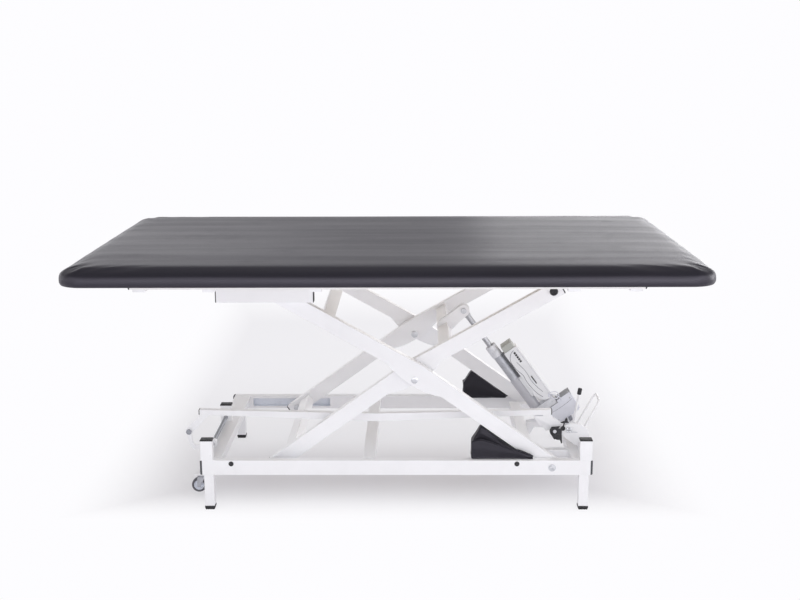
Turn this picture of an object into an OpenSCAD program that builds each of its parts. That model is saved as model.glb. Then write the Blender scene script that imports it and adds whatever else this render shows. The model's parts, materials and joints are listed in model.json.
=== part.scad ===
// Bobath treatment table: a wide upholstered top on a scissor lift with bent arms,
// one linear actuator and a foot control linkage along the base.
// Millimetres. X is the length, near side is -Y, +Z is up, origin on the floor under the pad centre.

/* [Top] */
// Length of the pad
pad_l = 2000; // [1800:10:2200]
// Width of the pad
pad_w = 1200; // [1080:10:1300]
// Thickness of the pad at its edge
pad_t = 52; // [48:1:70]
// Corner radius of the pad in plan
pad_corner = 95; // [70:1:120]
// Length of the two long rails under the pad
top_rail_l = 1600; // [1500:10:1700]
// Outer half width of the top frame
top_rail_y = 470; // [440:5:520]

/* [Scissor] */
// Distance from the centre bolt to an end pivot
half_arm = 533;
// Height of the upper pivots over the lower pivots, as drawn
lift_rise = 575; // [520:5:640]
// How far the bend stands above the line between the end pivots
bend_rise = 30; // [26:1:34]
// How far an arm runs past its end pivot
arm_past = 28; // [24:1:32]
// Height of an arm tube
arm_h = 50; // [46:1:52]
// Thickness of an arm tube
arm_t = 30; // [26:1:30]

/* [Base] */
// Length of the base rails without end caps
base_l = 1272; // [1250:2:1300]
// Centre of the base along X
base_x = 24;
// Outer half width of the base
base_y = 384; // [384:1:400]
// Height of a base rail tube
rail_h = 50; // [48:1:56]
// Height of the lower pivots over the floor
low_z = 144.5; // [138:0.5:150]
// Height of the end posts over the rails
post_h = 72; // [66:1:76]

/* [Actuator] */
// Lower pivot of the actuator over the floor
act_z = 176;
// Radius of the piston rod
rod_r = 10; // [8:0.5:11]

/* [Hidden] */
wall = 2.5;
rail_t = 30;
gap = 0.3;
run = 0.05;
$fn = 48;

base_x0 = base_x - base_l / 2;
base_x1 = base_x + base_l / 2;

// X of the lower and upper pivots and of the lower eye of the actuator
pivot_x = base_x1 - 126;
act_x = pivot_x + 26;

theta = asin(lift_rise / 2 / half_arm);
centre_x = pivot_x - half_arm * cos(theta);
centre_z = low_z + lift_rise / 2;
up_z = low_z + lift_rise;
roller_x = pivot_x - 2 * half_arm * cos(theta);
bend = atan(bend_rise / half_arm);

rail_in = base_y - rail_t;
rail_z0 = low_z - rail_h / 2;
rail_z1 = low_z + rail_h / 2;
cap_t = 7;
plug_x = [base_x0 + 96, base_x1 - 241];
plug_z = low_z + 13.5;

// The outer arms stand just inside the rails and the inner arms inside those.
outer_y1 = rail_in - 3;
outer_y0 = outer_y1 - arm_t;
inner_y1 = outer_y0 - 4;
inner_y0 = inner_y1 - arm_t;
bolt_r = 8;

// Roller tracks: the slot in each rail and the track under the top
track_x0 = roller_x - 176.4;
track_x1 = roller_x + 120.6;
roller_r = 15.2;
slot_h = 2 * (roller_r + gap);
track_h = 44;

// Heights in the top frame
top_tube = 40;
top_z0 = up_z + track_h / 2;
top_z1 = top_z0 + top_tube;
side_rail_h = 30;
side_rail_w = 40;
board_t = 15;
pad_z0 = top_z1 + 2.5;
pad_z1 = pad_z0 + pad_t;
// The cross tubes keep clear of the arm ends over the whole travel
lug_reach = 32;
top_cross_x = [-780, track_x0 - 20, track_x1 + 18, pivot_x + lug_reach + top_tube / 2, 780];

// Members across the base
end_member_w = 60;
member_h = 30;
mid_x = -65;
act_member_x = pivot_x - 70;
act_member_y = inner_y0 - 7;
member_w = 40;
leg_w = 35;
leg_off = base_l / 2 - leg_w / 2 - 4;
foot_h = 12;
post_w = 40;
post_off = base_l / 2 - post_w / 2 + 4;
post_z1 = rail_z1 + post_h;
post2_y = 36;

// Places across the scissor in the frame of an arm: along the arm, and above its chord
inner_tube_u = 138;
outer_tube_u = 344;
low_tube_u = -485;
lug_u = 229;
lug_v = 39.5;
function chord_rise(u) = bend_rise * (1 - abs(u) / half_arm);

// Actuator axis from its lower pivot to the lugs
lug_x = centre_x + lug_u * cos(theta) - lug_v * sin(theta);
lug_z = centre_z + lug_u * sin(theta) + lug_v * cos(theta);
act_len = sqrt(pow(lug_x - act_x, 2) + pow(lug_z - act_z, 2));
act_ang = atan2(lug_z - act_z, lug_x - act_x);
act_half = 28;
lug_in = 12;
lug_t = 6;

// Foot control linkage
shaft_z = 186;
shaft_r = 7;
shaft_xl = base_x - post_off;
shaft_xr = base_x + post_off;
crank_x = -78;
crank_z = 42;
crank_y = -262;
crank_t = 6;
link_y = -240;
link_s = 22;
link_x0 = shaft_xl + crank_x + 36;
link_x1 = shaft_xr + crank_x - 23;
link_z = 290;
link_dip = 18;
pin_z = shaft_z + crank_z;

// Castors at the left end
castor_x = base_x0 - 22;
castor_y = 260;
castor_r = 25;
castor_z = 41;
castor_trail = 12;
castor_top = castor_z + castor_r + 14;

// Shared shapes

module block(x0, x1, y0, y1, z0, z1) {
  translate([x0, y0, z0]) cube([x1 - x0, y1 - y0, z1 - z0]);
}

module both_sides() {
  children();
  mirror([0, 1, 0]) children();
}

// A child drawn for the far side, moved to the side asked for
module on_side(side) {
  if (side > 0) children();
  else mirror([0, 1, 0]) children();
}

module tube_x(x0, x1, y0, y1, z0, z1) {
  difference() {
    block(x0, x1, y0, y1, z0, z1);
    block(x0 - 1, x1 + 1, y0 + wall, y1 - wall, z0 + wall, z1 - wall);
  }
}

module tube_y(x0, x1, y0, y1, z0, z1) {
  difference() {
    block(x0, x1, y0, y1, z0, z1);
    block(x0 + wall, x1 - wall, y0 - 1, y1 + 1, z0 + wall, z1 - wall);
  }
}

module tube_z(x0, x1, y0, y1, z0, z1) {
  difference() {
    block(x0, x1, y0, y1, z0, z1);
    block(x0 + wall, x1 - wall, y0 + wall, y1 - wall, z0 - 1, z1 + 1);
  }
}

module round_y(x, z, r, y0, y1) {
  translate([x, y0, z]) rotate([-90, 0, 0]) cylinder(r = r, h = y1 - y0);
}

// A flat outline in X and Z given a thickness from y0 to y1
module plate_y(y0, y1) {
  translate([0, y1, 0]) rotate([90, 0, 0]) linear_extrude(y1 - y0) children();
}

module inner_frame() {
  translate([centre_x, 0, centre_z]) rotate([0, -theta, 0]) children();
}

module outer_frame() {
  translate([centre_x, 0, centre_z]) mirror([1, 0, 0]) rotate([0, -theta, 0]) children();
}

// A plastic plug with a flange over a tube end, pointing up
module plug(w, d, t, lip = 0) {
  f = wall + lip;
  translate([-w / 2, -d / 2, 0]) cube([w, d, t * 0.6]);
  translate([-w / 2 + 1.5, -d / 2 + 1.5, t * 0.6]) cube([w - 3, d - 3, t * 0.4]);
  translate([-w / 2 + f, -d / 2 + f, -12]) cube([w - 2 * f, d - 2 * f, 12]);
}

// Base frame

module rail(side) {
  color("white") on_side(side) difference() {
    tube_x(base_x0, base_x1, rail_in, base_y, rail_z0, rail_z1);
    block(track_x0, track_x1, rail_in - 1, rail_in + wall + 1, low_z - slot_h / 2, low_z + slot_h / 2);
    round_y(pivot_x, low_z, bolt_r + run, rail_in - 1, base_y + 1);
    for (x = plug_x) round_y(x, plug_z, 6, base_y - wall - 1, base_y + 1);
  }
}

// Folded steel channels that the lower rollers run in
module track_liner(z) {
  difference() {
    block(track_x0 - 6, track_x1 + 6, rail_in + wall, base_y - wall, z - slot_h / 2 - 2, z + slot_h / 2 + 2);
    block(track_x0, track_x1, rail_in, base_y - wall - 2, z - slot_h / 2, z + slot_h / 2);
  }
}

module lower_track_liners() {
  color("lightsteelblue") both_sides() track_liner(low_z);
}

module end_members() {
  color("white") for (s = [-1, 1])
    translate([base_x + s * (base_l / 2 - end_member_w / 2), 0, 0])
      tube_y(-end_member_w / 2, end_member_w / 2, -rail_in, rail_in, rail_z1 - member_h, rail_z1);
}

// The member that carries the actuator is short: it stands between the inner arms
module middle_members() {
  color("white") {
    tube_y(mid_x - member_w / 2, mid_x + member_w / 2, -rail_in, rail_in, rail_z1 - member_h, rail_z1);
    tube_y(act_member_x - member_w / 2, act_member_x + member_w / 2, -act_member_y, act_member_y,
      rail_z0, rail_z1);
  }
}

// Two tubes from the right end member that hold the short member
module actuator_stringers() {
  color("white") both_sides()
    tube_x(act_member_x + member_w / 2, base_x1 - end_member_w, act_member_y - rail_t, act_member_y,
      rail_z1 - member_h, rail_z1);
}

module legs() {
  color("white") both_sides() for (s = [-1, 1])
    translate([base_x + s * leg_off, 0, 0])
      tube_z(-leg_w / 2, leg_w / 2, rail_in, base_y, foot_h, rail_z0);
}

module feet() {
  color("black") both_sides() for (s = [-1, 1])
    translate([base_x + s * leg_off, base_y - rail_t / 2, foot_h]) mirror([0, 0, 1])
      plug(leg_w + 2, rail_t + 2, foot_h, 1);
}

module rail_end_caps() {
  color("dimgray") both_sides() for (s = [-1, 1])
    translate([base_x + s * base_l / 2, base_y - rail_t / 2, low_z]) rotate([0, s * 90, 0])
      plug(rail_h, rail_t, cap_t);
}

// One post on the near end of each near rail end and one on each end member
module end_posts() {
  color("white") for (s = [-1, 1]) translate([base_x + s * post_off, 0, 0])
    for (y = [-base_y + rail_t / 2, post2_y + rail_t / 2]) difference() {
      tube_z(-post_w / 2, post_w / 2, y - rail_t / 2, y + rail_t / 2, rail_z1, post_z1);
      if (y > 0) round_y(0, shaft_z, shaft_r + run, y - rail_t / 2 - 1, y - rail_t / 2 + wall + 1);
      else round_y(0, shaft_z, shaft_r + run, y + rail_t / 2 - wall - 1, y + rail_t / 2 + 1);
    }
}

module post_caps() {
  color("black") for (s = [-1, 1]) translate([base_x + s * post_off, 0, post_z1])
    for (y = [-base_y + rail_t / 2, post2_y + rail_t / 2])
      translate([0, y, 0]) plug(post_w + 2, rail_t + 2, 5, 1);
}

// Two small screws hold the shaft bearing inside each near post
module bearing_screws() {
  color("silver") for (s = [-1, 1]) for (d = [-12, 12])
    round_y(base_x + s * post_off + d, shaft_z, 3.5, -base_y - 2, -base_y);
}

module rail_plugs() {
  color("black") both_sides() for (x = plug_x) {
    round_y(x, plug_z, 8, base_y, base_y + 2);
    round_y(x, plug_z, 6, base_y - wall, base_y);
  }
}

module lower_pivot_bolts() {
  color("silver") both_sides() {
    round_y(pivot_x, low_z, bolt_r, outer_y0 - 1, base_y + 2);
    round_y(pivot_x, low_z, 12.5, base_y, base_y + 2);
    round_y(pivot_x, low_z, 8.5, base_y + 2, base_y + 9);
  }
}

// Welded bracket that carries the lower eye of the actuator
module actuator_bracket() {
  x0 = act_member_x + member_w / 2;
  color("white") {
    for (s = [-1, 1]) translate([0, s * (lug_in + lug_t / 2), 0]) difference() {
      plate_y(-lug_t / 2, lug_t / 2) {
        polygon([[x0, rail_z1 - member_h], [x0 + 12, rail_z1 - member_h], [x0 + 26, rail_z1 - 4],
          [act_x, rail_z1 - 7], [act_x + 6, act_z + 16], [act_x - 8, act_z + 16], [x0, rail_z1 + 12]]);
        translate([act_x, act_z]) circle(r = 17);
      }
      round_y(act_x, act_z, 6 + run, -lug_t, lug_t);
    }
  }
  color("silver") {
    round_y(act_x, act_z, 6, -lug_in - lug_t - 4, lug_in + lug_t + 4);
    both_sides() round_y(act_x, act_z, 10, lug_in + lug_t, lug_in + lug_t + 5);
  }
}

module castor_brackets() {
  color("white") both_sides() difference() {
    union() {
      block(base_x0 - 5, base_x0, castor_y - 24, castor_y + 24, castor_top, rail_z1 - 10);
      block(castor_x - 22, base_x0, castor_y - 24, castor_y + 24, castor_top, castor_top + 5);
    }
    translate([castor_x, castor_y, castor_top - 2]) cylinder(r = 6 + run, h = 10);
  }
}

// Soft wedge under each outer arm. Every station has six points round it: the outer middle one is
// the crease, and past the end of the arm's underside only the part in front of the arm goes on.
guard_low = rail_z1 + gap;
guard_top_x = pivot_x - 232;
guard_tip_x = pivot_x - 55;
guard_mid_x = (guard_top_x + guard_tip_x) / 2;
guard_crease_h = 73;
guard_reach = 22;
function under_arm(x) = let(s = (pivot_x - x) / cos(theta), rise = bend_rise * s / half_arm)
  low_z + (pivot_x - x) * tan(theta) + (rise - arm_h / 2 / cos(bend)) / cos(theta) - 2;
function crease(x) = 3 + guard_crease_h *
  (x < guard_top_x ? 0.9 : (guard_tip_x - x) / (guard_tip_x - guard_top_x));
function guard_ring(x, h, y_in) = let(c = min(crease(x), h + 14), o = outer_y1 + gap) [
  [x, o + guard_reach * 0.8, guard_low], [x, o + guard_reach, guard_low + c],
  [x, o + 0.2, guard_low + h], [x, y_in, guard_low + h],
  [x, y_in - (y_in < outer_y1 ? 5 : 0), guard_low + h * 0.5], [x, y_in, guard_low]];
guard_end_x = pivot_x - (guard_low + 1 - low_z + arm_h / 2 / cos(bend) / cos(theta) + 2)
  / (tan(theta) + bend_rise / half_arm / pow(cos(theta), 2));
guard_points = concat(
  guard_ring(guard_top_x - 32, 60, outer_y0 + 2),
  guard_ring(guard_top_x, under_arm(guard_top_x) - guard_low, outer_y0 + 2),
  guard_ring(guard_mid_x, under_arm(guard_mid_x) - guard_low, outer_y0 + 2),
  guard_ring(guard_end_x, 0.8, outer_y0 + 2),
  guard_ring(guard_end_x + 2, 0.8, outer_y1 + gap),
  guard_ring(guard_tip_x, 0.6, outer_y1 + gap));
guard_faces = concat(
  [[5, 4, 3, 2, 1, 0], [30, 31, 32, 33, 34, 35]],
  [for (r = [0:4]) for (i = [0:5]) let(a = r * 6 + i, b = r * 6 + (i + 1) % 6) [a, b, b + 6]],
  [for (r = [0:4]) for (i = [0:5]) let(a = r * 6 + i, b = r * 6 + (i + 1) % 6) [a, b + 6, a + 6]]);

module guard(side) {
  color("#2b2a30") on_side(side) polyhedron(guard_points, guard_faces);
}

// Castors

module castor_fork(side) {
  color("dimgray") translate([castor_x, side * castor_y, 0]) {
    translate([0, 0, castor_top - 8]) {
      cylinder(r = 6, h = 17);
      cylinder(r = 16, h = 7.6);
      translate([0, 0, 14]) cylinder(r = 9, h = 3);
      translate([-16, -14.5, 0]) cube([28, 29, 3]);
    }
    for (s = [-1, 1]) translate([0, s * 13, 0]) plate_y(-1.5, 1.5)
      polygon([[-16, castor_top - 5], [12, castor_top - 5], [4, castor_z + 7], [-4, castor_z - 8],
        [-20, castor_z - 8], [-22, castor_z + 9]]);
    round_y(-castor_trail, castor_z, 4, -17, 17);
  }
}

module castor_wheel(side) {
  translate([castor_x - castor_trail, side * castor_y, castor_z]) rotate([-90, 0, 0]) {
    color("#3a3a3e") difference() {
      translate([0, 0, -9]) cylinder(r = castor_r, h = 18);
      translate([0, 0, -10]) cylinder(r = castor_r - 8, h = 20);
    }
    color("#c5cbd6") difference() {
      translate([0, 0, -11]) cylinder(r = castor_r - 8, h = 22);
      translate([0, 0, -12]) cylinder(r = 4 + run, h = 24);
    }
  }
}

// Scissor arms

function arm_outline(half, past) = [
  [-half_arm - past * cos(bend) - half * sin(bend), -past * sin(bend) + half * cos(bend)],
  [0, bend_rise + half / cos(bend)],
  [half_arm + past * cos(bend) + half * sin(bend), -past * sin(bend) + half * cos(bend)],
  [half_arm + past * cos(bend) - half * sin(bend), -past * sin(bend) - half * cos(bend)],
  [0, bend_rise - half / cos(bend)],
  [-half_arm - past * cos(bend) + half * sin(bend), -past * sin(bend) - half * cos(bend)]];

// Web below the bend whose lower edge is an arch under the centre bolt
web_l = 105;
web_low = -19;
function web_edge(x) = [x, chord_rise(x) - arm_h / 2 / cos(bend) + (web_low - 5) * (1 - pow(x / web_l, 2))];

module arm(y0, y1) {
  difference() {
    union() {
      difference() {
        plate_y(y0, y1) polygon(arm_outline(arm_h / 2, arm_past));
        plate_y(y0 + wall, y1 - wall) polygon(arm_outline(arm_h / 2 - wall, arm_past + 5));
      }
      plate_y(y0, y1) polygon(concat(
        [[web_l, chord_rise(web_l) - arm_h / 2 + 2], [0, bend_rise - arm_h / 2 + 2],
         [-web_l, chord_rise(web_l) - arm_h / 2 + 2]],
        [for (i = [0:12]) web_edge(-web_l + i * web_l / 6)]));
      for (u = [-half_arm, 0, half_arm]) round_y(u, 0, 15, y0, y1);
    }
    for (u = [-half_arm, 0, half_arm]) round_y(u, 0, bolt_r + run, y0 - 1, y1 + 1);
  }
}

module arm_caps(y0, y1) {
  for (s = [-1, 1]) translate([s * half_arm, 0, 0]) rotate([0, s * bend, 0])
    translate([s * arm_past, (y0 + y1) / 2, 0]) rotate([0, s * 90, 0]) plug(arm_h, y1 - y0, 4);
}

module outer_arm(side) {
  color("white") outer_frame() on_side(side) arm(outer_y0, outer_y1);
}

module inner_arm(side) {
  color("white") inner_frame() on_side(side) arm(inner_y0, inner_y1);
}

module outer_arm_caps() {
  color("black") outer_frame() both_sides() arm_caps(outer_y0, outer_y1);
}

module inner_arm_caps() {
  color("black") inner_frame() both_sides() arm_caps(inner_y0, inner_y1);
}

module cross_tube(u, half_y) {
  translate([u, 0, chord_rise(u)]) rotate([0, u > 0 ? bend : -bend, 0])
    tube_y(-20, 20, -half_y, half_y, -16, 16);
}

module outer_cross_tubes() {
  color("white") outer_frame() cross_tube(outer_tube_u, outer_y0);
}

module inner_cross_tubes() {
  color("white") inner_frame() {
    cross_tube(inner_tube_u, inner_y0);
    cross_tube(low_tube_u, inner_y0);
  }
}

// Bolts through both arms at the centre: head outside, nut inside, a washer between the arms
module centre_bolts() {
  color("silver") both_sides() {
    round_y(centre_x, centre_z, bolt_r, inner_y0 - 8, outer_y1);
    round_y(centre_x, centre_z, 11, outer_y1, outer_y1 + 2.4);
    round_y(centre_x, centre_z, 13, inner_y1 + gap, outer_y0);
    translate([centre_x, inner_y0 - 8, centre_z]) rotate([-90, 0, 0])
      cylinder(r = 13, h = 8 - gap, $fn = 6);
  }
}

module upper_roller_axles() {
  color("silver") both_sides() {
    round_y(roller_x, up_z, bolt_r, outer_y0 - 8, outer_y1);
    round_y(roller_x, up_z, 6, outer_y1, base_y - wall - 3);
    translate([roller_x, outer_y0 - 8, up_z]) rotate([-90, 0, 0]) cylinder(r = 13, h = 8, $fn = 6);
  }
}

module lower_roller_axles() {
  color("silver") both_sides() {
    round_y(roller_x, low_z, bolt_r, inner_y0 - 8, inner_y1);
    round_y(roller_x, low_z, 9, inner_y1, rail_in - 1);
    round_y(roller_x, low_z, 6, rail_in - 1, base_y - wall - 3);
    translate([roller_x, inner_y0 - 8, low_z]) rotate([-90, 0, 0]) cylinder(r = 13, h = 8, $fn = 6);
  }
}

module roller_pair(z) {
  color("dimgray") both_sides() difference() {
    round_y(roller_x, z, roller_r, rail_in + wall + 0.5, base_y - wall - 3);
    round_y(roller_x, z, 6 + run, rail_in, base_y);
  }
}

// Plates on the inner cross tube that the piston rod pushes
module actuator_lugs() {
  color("white") inner_frame() for (s = [-1, 1]) translate([0, s * (lug_in + lug_t / 2), 0]) difference() {
    plate_y(-lug_t / 2, lug_t / 2) {
      translate([lug_u, lug_v]) circle(r = 21);
      polygon([[inner_tube_u + 21, chord_rise(inner_tube_u) - 17], [lug_u + 10, lug_v - 18.4],
        [lug_u - 4, lug_v + 20.6], [inner_tube_u - 2, chord_rise(inner_tube_u) + 30],
        [inner_tube_u - 19, chord_rise(inner_tube_u) + 17.2],
        [inner_tube_u + 19, chord_rise(inner_tube_u) + 15]]);
    }
    round_y(lug_u, lug_v, 6 + run, -lug_t, lug_t);
    translate([inner_tube_u, 0, chord_rise(inner_tube_u)]) rotate([0, bend, 0])
      cube([40 + 2 * run, 2 * lug_t, 32 + 2 * run], center = true);
  }
}

module lug_bolts() {
  color("silver") both_sides() {
    round_y(lug_x, lug_z, 6, lug_in + 0.5, lug_in + lug_t);
    round_y(lug_x, lug_z, 10, lug_in + lug_t, lug_in + lug_t + 5);
  }
}

// Top frame and pad

module top_side_rails() {
  color("white") both_sides()
    tube_x(-top_rail_l / 2, top_rail_l / 2, top_rail_y - side_rail_w, top_rail_y, top_z1 - side_rail_h, top_z1);
}

module top_cross_tubes() {
  half_y = top_rail_y - side_rail_w;
  color("white") for (x = top_cross_x)
    tube_y(x - top_tube / 2, x + top_tube / 2, -half_y, half_y, top_z0, top_z1);
}

module top_frame_caps() {
  color("black") both_sides() {
    for (s = [-1, 1])
      translate([s * top_rail_l / 2, top_rail_y - side_rail_w / 2, top_z1 - side_rail_h / 2])
        rotate([0, s * 90, 0]) plug(side_rail_h, side_rail_w, 5);
    for (e = [[track_x0 - 6, -1], [track_x1 + 6, 1]])
      translate([e[0], base_y - rail_t / 2, up_z]) rotate([0, e[1] * 90, 0]) plug(track_h, rail_t, 3);
  }
}

module upper_tracks() {
  color("white") both_sides() difference() {
    tube_x(track_x0 - 6, track_x1 + 6, rail_in, base_y, up_z - track_h / 2, up_z + track_h / 2);
    block(track_x0 + 14, track_x1 - 14, rail_in - 1, rail_in + wall + 1, up_z - slot_h / 2, up_z + slot_h / 2);
  }
}

module upper_track_liners() {
  h = slot_h / 2;
  color("lightsteelblue") both_sides() difference() {
    block(track_x0 + 10, track_x1 - 10, rail_in + wall, base_y - wall, up_z - h - 2, up_z + h + 2);
    block(track_x0 + 14, track_x1 - 14, rail_in, base_y - wall - 2, up_z - h, up_z + h);
  }
}

// Rounded plates on both sides of each inner arm's upper end
module upper_pivot_lugs() {
  color("#e4e4ea") both_sides() for (y = [inner_y0 - 6, inner_y1 + gap]) difference() {
    plate_y(y, y + 6 - gap) {
      translate([pivot_x, up_z]) {
        circle(r = 20);
        polygon([[-20, 0], [-20, 24], [-8, 52], [lug_reach, 52], [lug_reach, 20], [20, 0]]);
      }
    }
    round_y(pivot_x, up_z, bolt_r + run, y - 1, y + 8);
  }
}

module upper_pivot_bolts() {
  color("black") both_sides() {
    round_y(pivot_x, up_z, bolt_r, inner_y0 - 14, inner_y1 + 6);
    round_y(pivot_x, up_z, 12, inner_y1 + 6, inner_y1 + 13);
    translate([pivot_x, inner_y0 - 14, up_z]) rotate([-90, 0, 0]) cylinder(r = 13, h = 8, $fn = 6);
  }
}

module pad_board() {
  l = pad_l - 90;
  w = pad_w - 90;
  color("#c8a878") translate([0, 0, top_z1]) linear_extrude(board_t) {
    square([l - 120, w], center = true);
    square([l, w - 120], center = true);
    for (x = [-1, 1]) for (y = [-1, 1])
      translate([x * (l / 2 - 60), y * (w / 2 - 60)]) circle(r = 60);
  }
}

// Rings of the pad from its lower lip to its crown: inset from the outline, height
pad_rings = [[46, 0], [10, 0], [3, 4], [0.6, 12], [0, 22], [1, 34], [5, 43], [13, 49],
  [26, 51.6], [60, 53], [180, 55], [380, 56]];
pad_steps = 7;
function pad_corner_pts(cx, cy, r, a0) = [for (i = [0:pad_steps - 1])
  let(a = a0 + 90 * i / (pad_steps - 1)) [cx + r * cos(a), cy + r * sin(a)]];
// Points along a straight side, drawn in a little at its middle
function pad_side_pts(p, q, inward) = [for (i = [1:5]) let(f = i / 6, d = 3 * sin(180 * f))
  [p[0] + (q[0] - p[0]) * f + inward[0] * d, p[1] + (q[1] - p[1]) * f + inward[1] * d]];
function pad_ring(inset, z) = let(
    r = max(20, pad_corner - inset), hx = pad_l / 2 - inset - r, hy = pad_w / 2 - inset - r,
    ne = pad_corner_pts(hx, hy, r, 0), nw = pad_corner_pts(-hx, hy, r, 90),
    sw = pad_corner_pts(-hx, -hy, r, 180), se = pad_corner_pts(hx, -hy, r, 270), n = pad_steps - 1)
  [for (p = concat(ne, pad_side_pts(ne[n], nw[0], [0, -1]), nw, pad_side_pts(nw[n], sw[0], [1, 0]),
    sw, pad_side_pts(sw[n], se[0], [0, 1]), se, pad_side_pts(se[n], ne[0], [-1, 0]))) [p[0], p[1], z]];
pad_n = 4 * (pad_steps + 5);
pad_points = concat(
  [for (p = pad_rings) each pad_ring(p[0], pad_z0 + p[1] * pad_t / 52)],
  [[0, 0, pad_z0], [0, 0, pad_z0 + pad_t * 56.4 / 52]]);
pad_last = len(pad_rings) - 1;
pad_faces = concat(
  [for (i = [0:pad_n - 1]) [pad_n * (pad_last + 1), i, (i + 1) % pad_n]],
  [for (k = [0:pad_last - 1]) for (i = [0:pad_n - 1])
    let(a = k * pad_n + i, b = k * pad_n + (i + 1) % pad_n) [a, b + pad_n, b]],
  [for (k = [0:pad_last - 1]) for (i = [0:pad_n - 1])
    let(a = k * pad_n + i, b = k * pad_n + (i + 1) % pad_n) [a, a + pad_n, b + pad_n]],
  [for (i = [0:pad_n - 1]) let(a = pad_last * pad_n)
    [pad_n * (pad_last + 1) + 1, a + (i + 1) % pad_n, a + i]]);

module pad() {
  l = pad_l - 90;
  w = pad_w - 90;
  color("#26242b") difference() {
    polyhedron(pad_points, pad_faces);
    block(-l / 2 - gap, l / 2 + gap, -w / 2 - gap, w / 2 + gap, pad_z0 - 5, top_z1 + board_t);
  }
}

// Actuator, drawn along +Z from its lower eye and turned into place

module actuator_frame() {
  translate([act_x, 0, act_z]) rotate([0, 90 - act_ang, 0]) children();
}

module actuator_tube() {
  color("#b8babf") actuator_frame() difference() {
    union() {
      translate([0, 0, 60]) cylinder(r = 19, h = 143);
      translate([0, 0, 203]) cylinder(r = 17, h = 105);
      translate([0, 0, 306]) cylinder(r = 19.5, h = 46);
    }
    translate([0, 0, 70]) cylinder(r = rod_r + 0.4, h = 300);
  }
}

// Casting that joins the tube, the motor and the lower eye
module gear_housing() {
  color("#d5d7dc") actuator_frame() difference() {
    union() {
      translate([-20, -22, 48]) cube([92, 44, 26]);
      translate([-12, -10, 0]) cube([24, 20, 48]);
      round_y(0, 0, 12, -10, 10);
    }
    round_y(0, 0, 6 + run, -20, 20);
    translate([0, 0, 60]) cylinder(r = 19, h = 20);
  }
}

module motor_housing() {
  color("#c9cdd8") actuator_frame() {
    translate([30, -27, -14]) cube([98, 54, 60]);
    translate([36, -21, -20]) cube([86, 42, 6]);
    translate([26, -27, 46]) cube([104, 54, 2]);
  }
  color("#75777c") actuator_frame() translate([74, -27, 48]) cube([56, 54, 9]);
}

// Moulded box beside the tube, with a row of sockets in its near face
module control_box() {
  color("#dfe1e4") actuator_frame() difference() {
    union() {
      plate_y(-act_half, act_half)
        polygon([[24, 112], [40, 84], [62, 76], [72, 84], [76, 100], [76, 296], [68, 304], [24, 304]]);
      translate([12, -15, 116]) cube([13, 30, 84]);
    }
    for (i = [0:4]) translate([53, -act_half - 1, 246 + i * 9]) cube([6, 4, 6]);
    translate([53, -act_half - 1, 150]) cube([3, 4, 32]);
    translate([0, 0, 60]) cylinder(r = 19 + gap, h = 300);
  }
}

module control_box_end() {
  color("#a9aca4") actuator_frame() difference() {
    translate([27, -act_half + 1, 304]) cube([42, 2 * act_half - 2, 24]);
    translate([0, 0, 300]) cylinder(r = 19.5 + 0.3, h = 60);
  }
}

module actuator_rod() {
  color("silver") actuator_frame() {
    translate([0, 0, 215]) cylinder(r = rod_r, h = act_len - 215 - 10);
    difference() {
      union() {
        translate([0, 0, act_len - 28]) cylinder(r = lug_in - 0.6, h = 10);
        translate([-11, -lug_in + 0.5, act_len - 20]) cube([22, 2 * lug_in - 1, 20]);
        round_y(0, act_len, 13, -lug_in + 0.5, lug_in - 0.5);
      }
      round_y(0, act_len, 6, -20, 20);
    }
    round_y(0, act_len, 6, -lug_in + 0.4, lug_in - 0.4);
  }
}

// Foot control linkage

// Flat bar through a list of points, with round joints
module bar_path(points, w) {
  for (i = [0:len(points) - 2]) let(p = points[i], q = points[i + 1], d = q - p) {
    translate(p) rotate(atan2(d[1], d[0])) translate([0, -w / 2]) square([norm(d), w]);
  }
  for (p = points) translate(p) circle(r = w / 2);
}

module rocker_shaft(x) {
  color("#4a4b50") round_y(x, shaft_z, shaft_r, -base_y + wall + 1, post2_y + rail_t - wall - 1);
}

module crank_pin(x) {
  color("#5a5b60") {
    round_y(x + crank_x, pin_z, 5, crank_y - 2, link_y + 10);
    round_y(x + crank_x, pin_z, 9, crank_y - 5, crank_y);
  }
}

module left_rocker() {
  rocker_shaft(shaft_xl);
  color("white") {
    plate_y(crank_y, crank_y + crank_t) translate([shaft_xl, shaft_z]) {
      circle(r = 15);
      bar_path([[0, 0], [-38, -10], [-60, -14], [-73, 4], [crank_x, crank_z]], 14);
    }
    round_y(shaft_xl, shaft_z, 12, crank_y + crank_t, crank_y + 26);
  }
  crank_pin(shaft_xl);
}

module right_rocker() {
  rocker_shaft(shaft_xr);
  color("white") {
    plate_y(crank_y, crank_y + crank_t) translate([shaft_xr, shaft_z]) {
      circle(r = 15);
      circle(r = 11);
      translate([crank_x, crank_z]) circle(r = 11);
      polygon([[crank_x - 8, crank_z + 4], [-66, 60], [-36, 72], [-4, 69], [22, 50], [29, 20], [12, -2],
        [-20, -6], [crank_x + 6, crank_z - 7]]);
    }
    round_y(shaft_xr, shaft_z, 12, crank_y + crank_t, crank_y + 26);
  }
  crank_pin(shaft_xr);
}

// Small screw with two nuts on the right crank
module crank_adjuster() {
  color("#303034") {
    translate([shaft_xr - 52, crank_y - 7, pin_z - 2]) rotate([0, 90, 0]) cylinder(r = 2.5, h = 34);
    for (d = [4, 14]) translate([shaft_xr - 52 + d, crank_y - 7, pin_z - 2]) rotate([0, 90, 0])
      cylinder(r = 5, h = 4, $fn = 6);
    translate([shaft_xr - 24, crank_y - 12, pin_z - 8]) cube([6, 12, 12]);
  }
}

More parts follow.
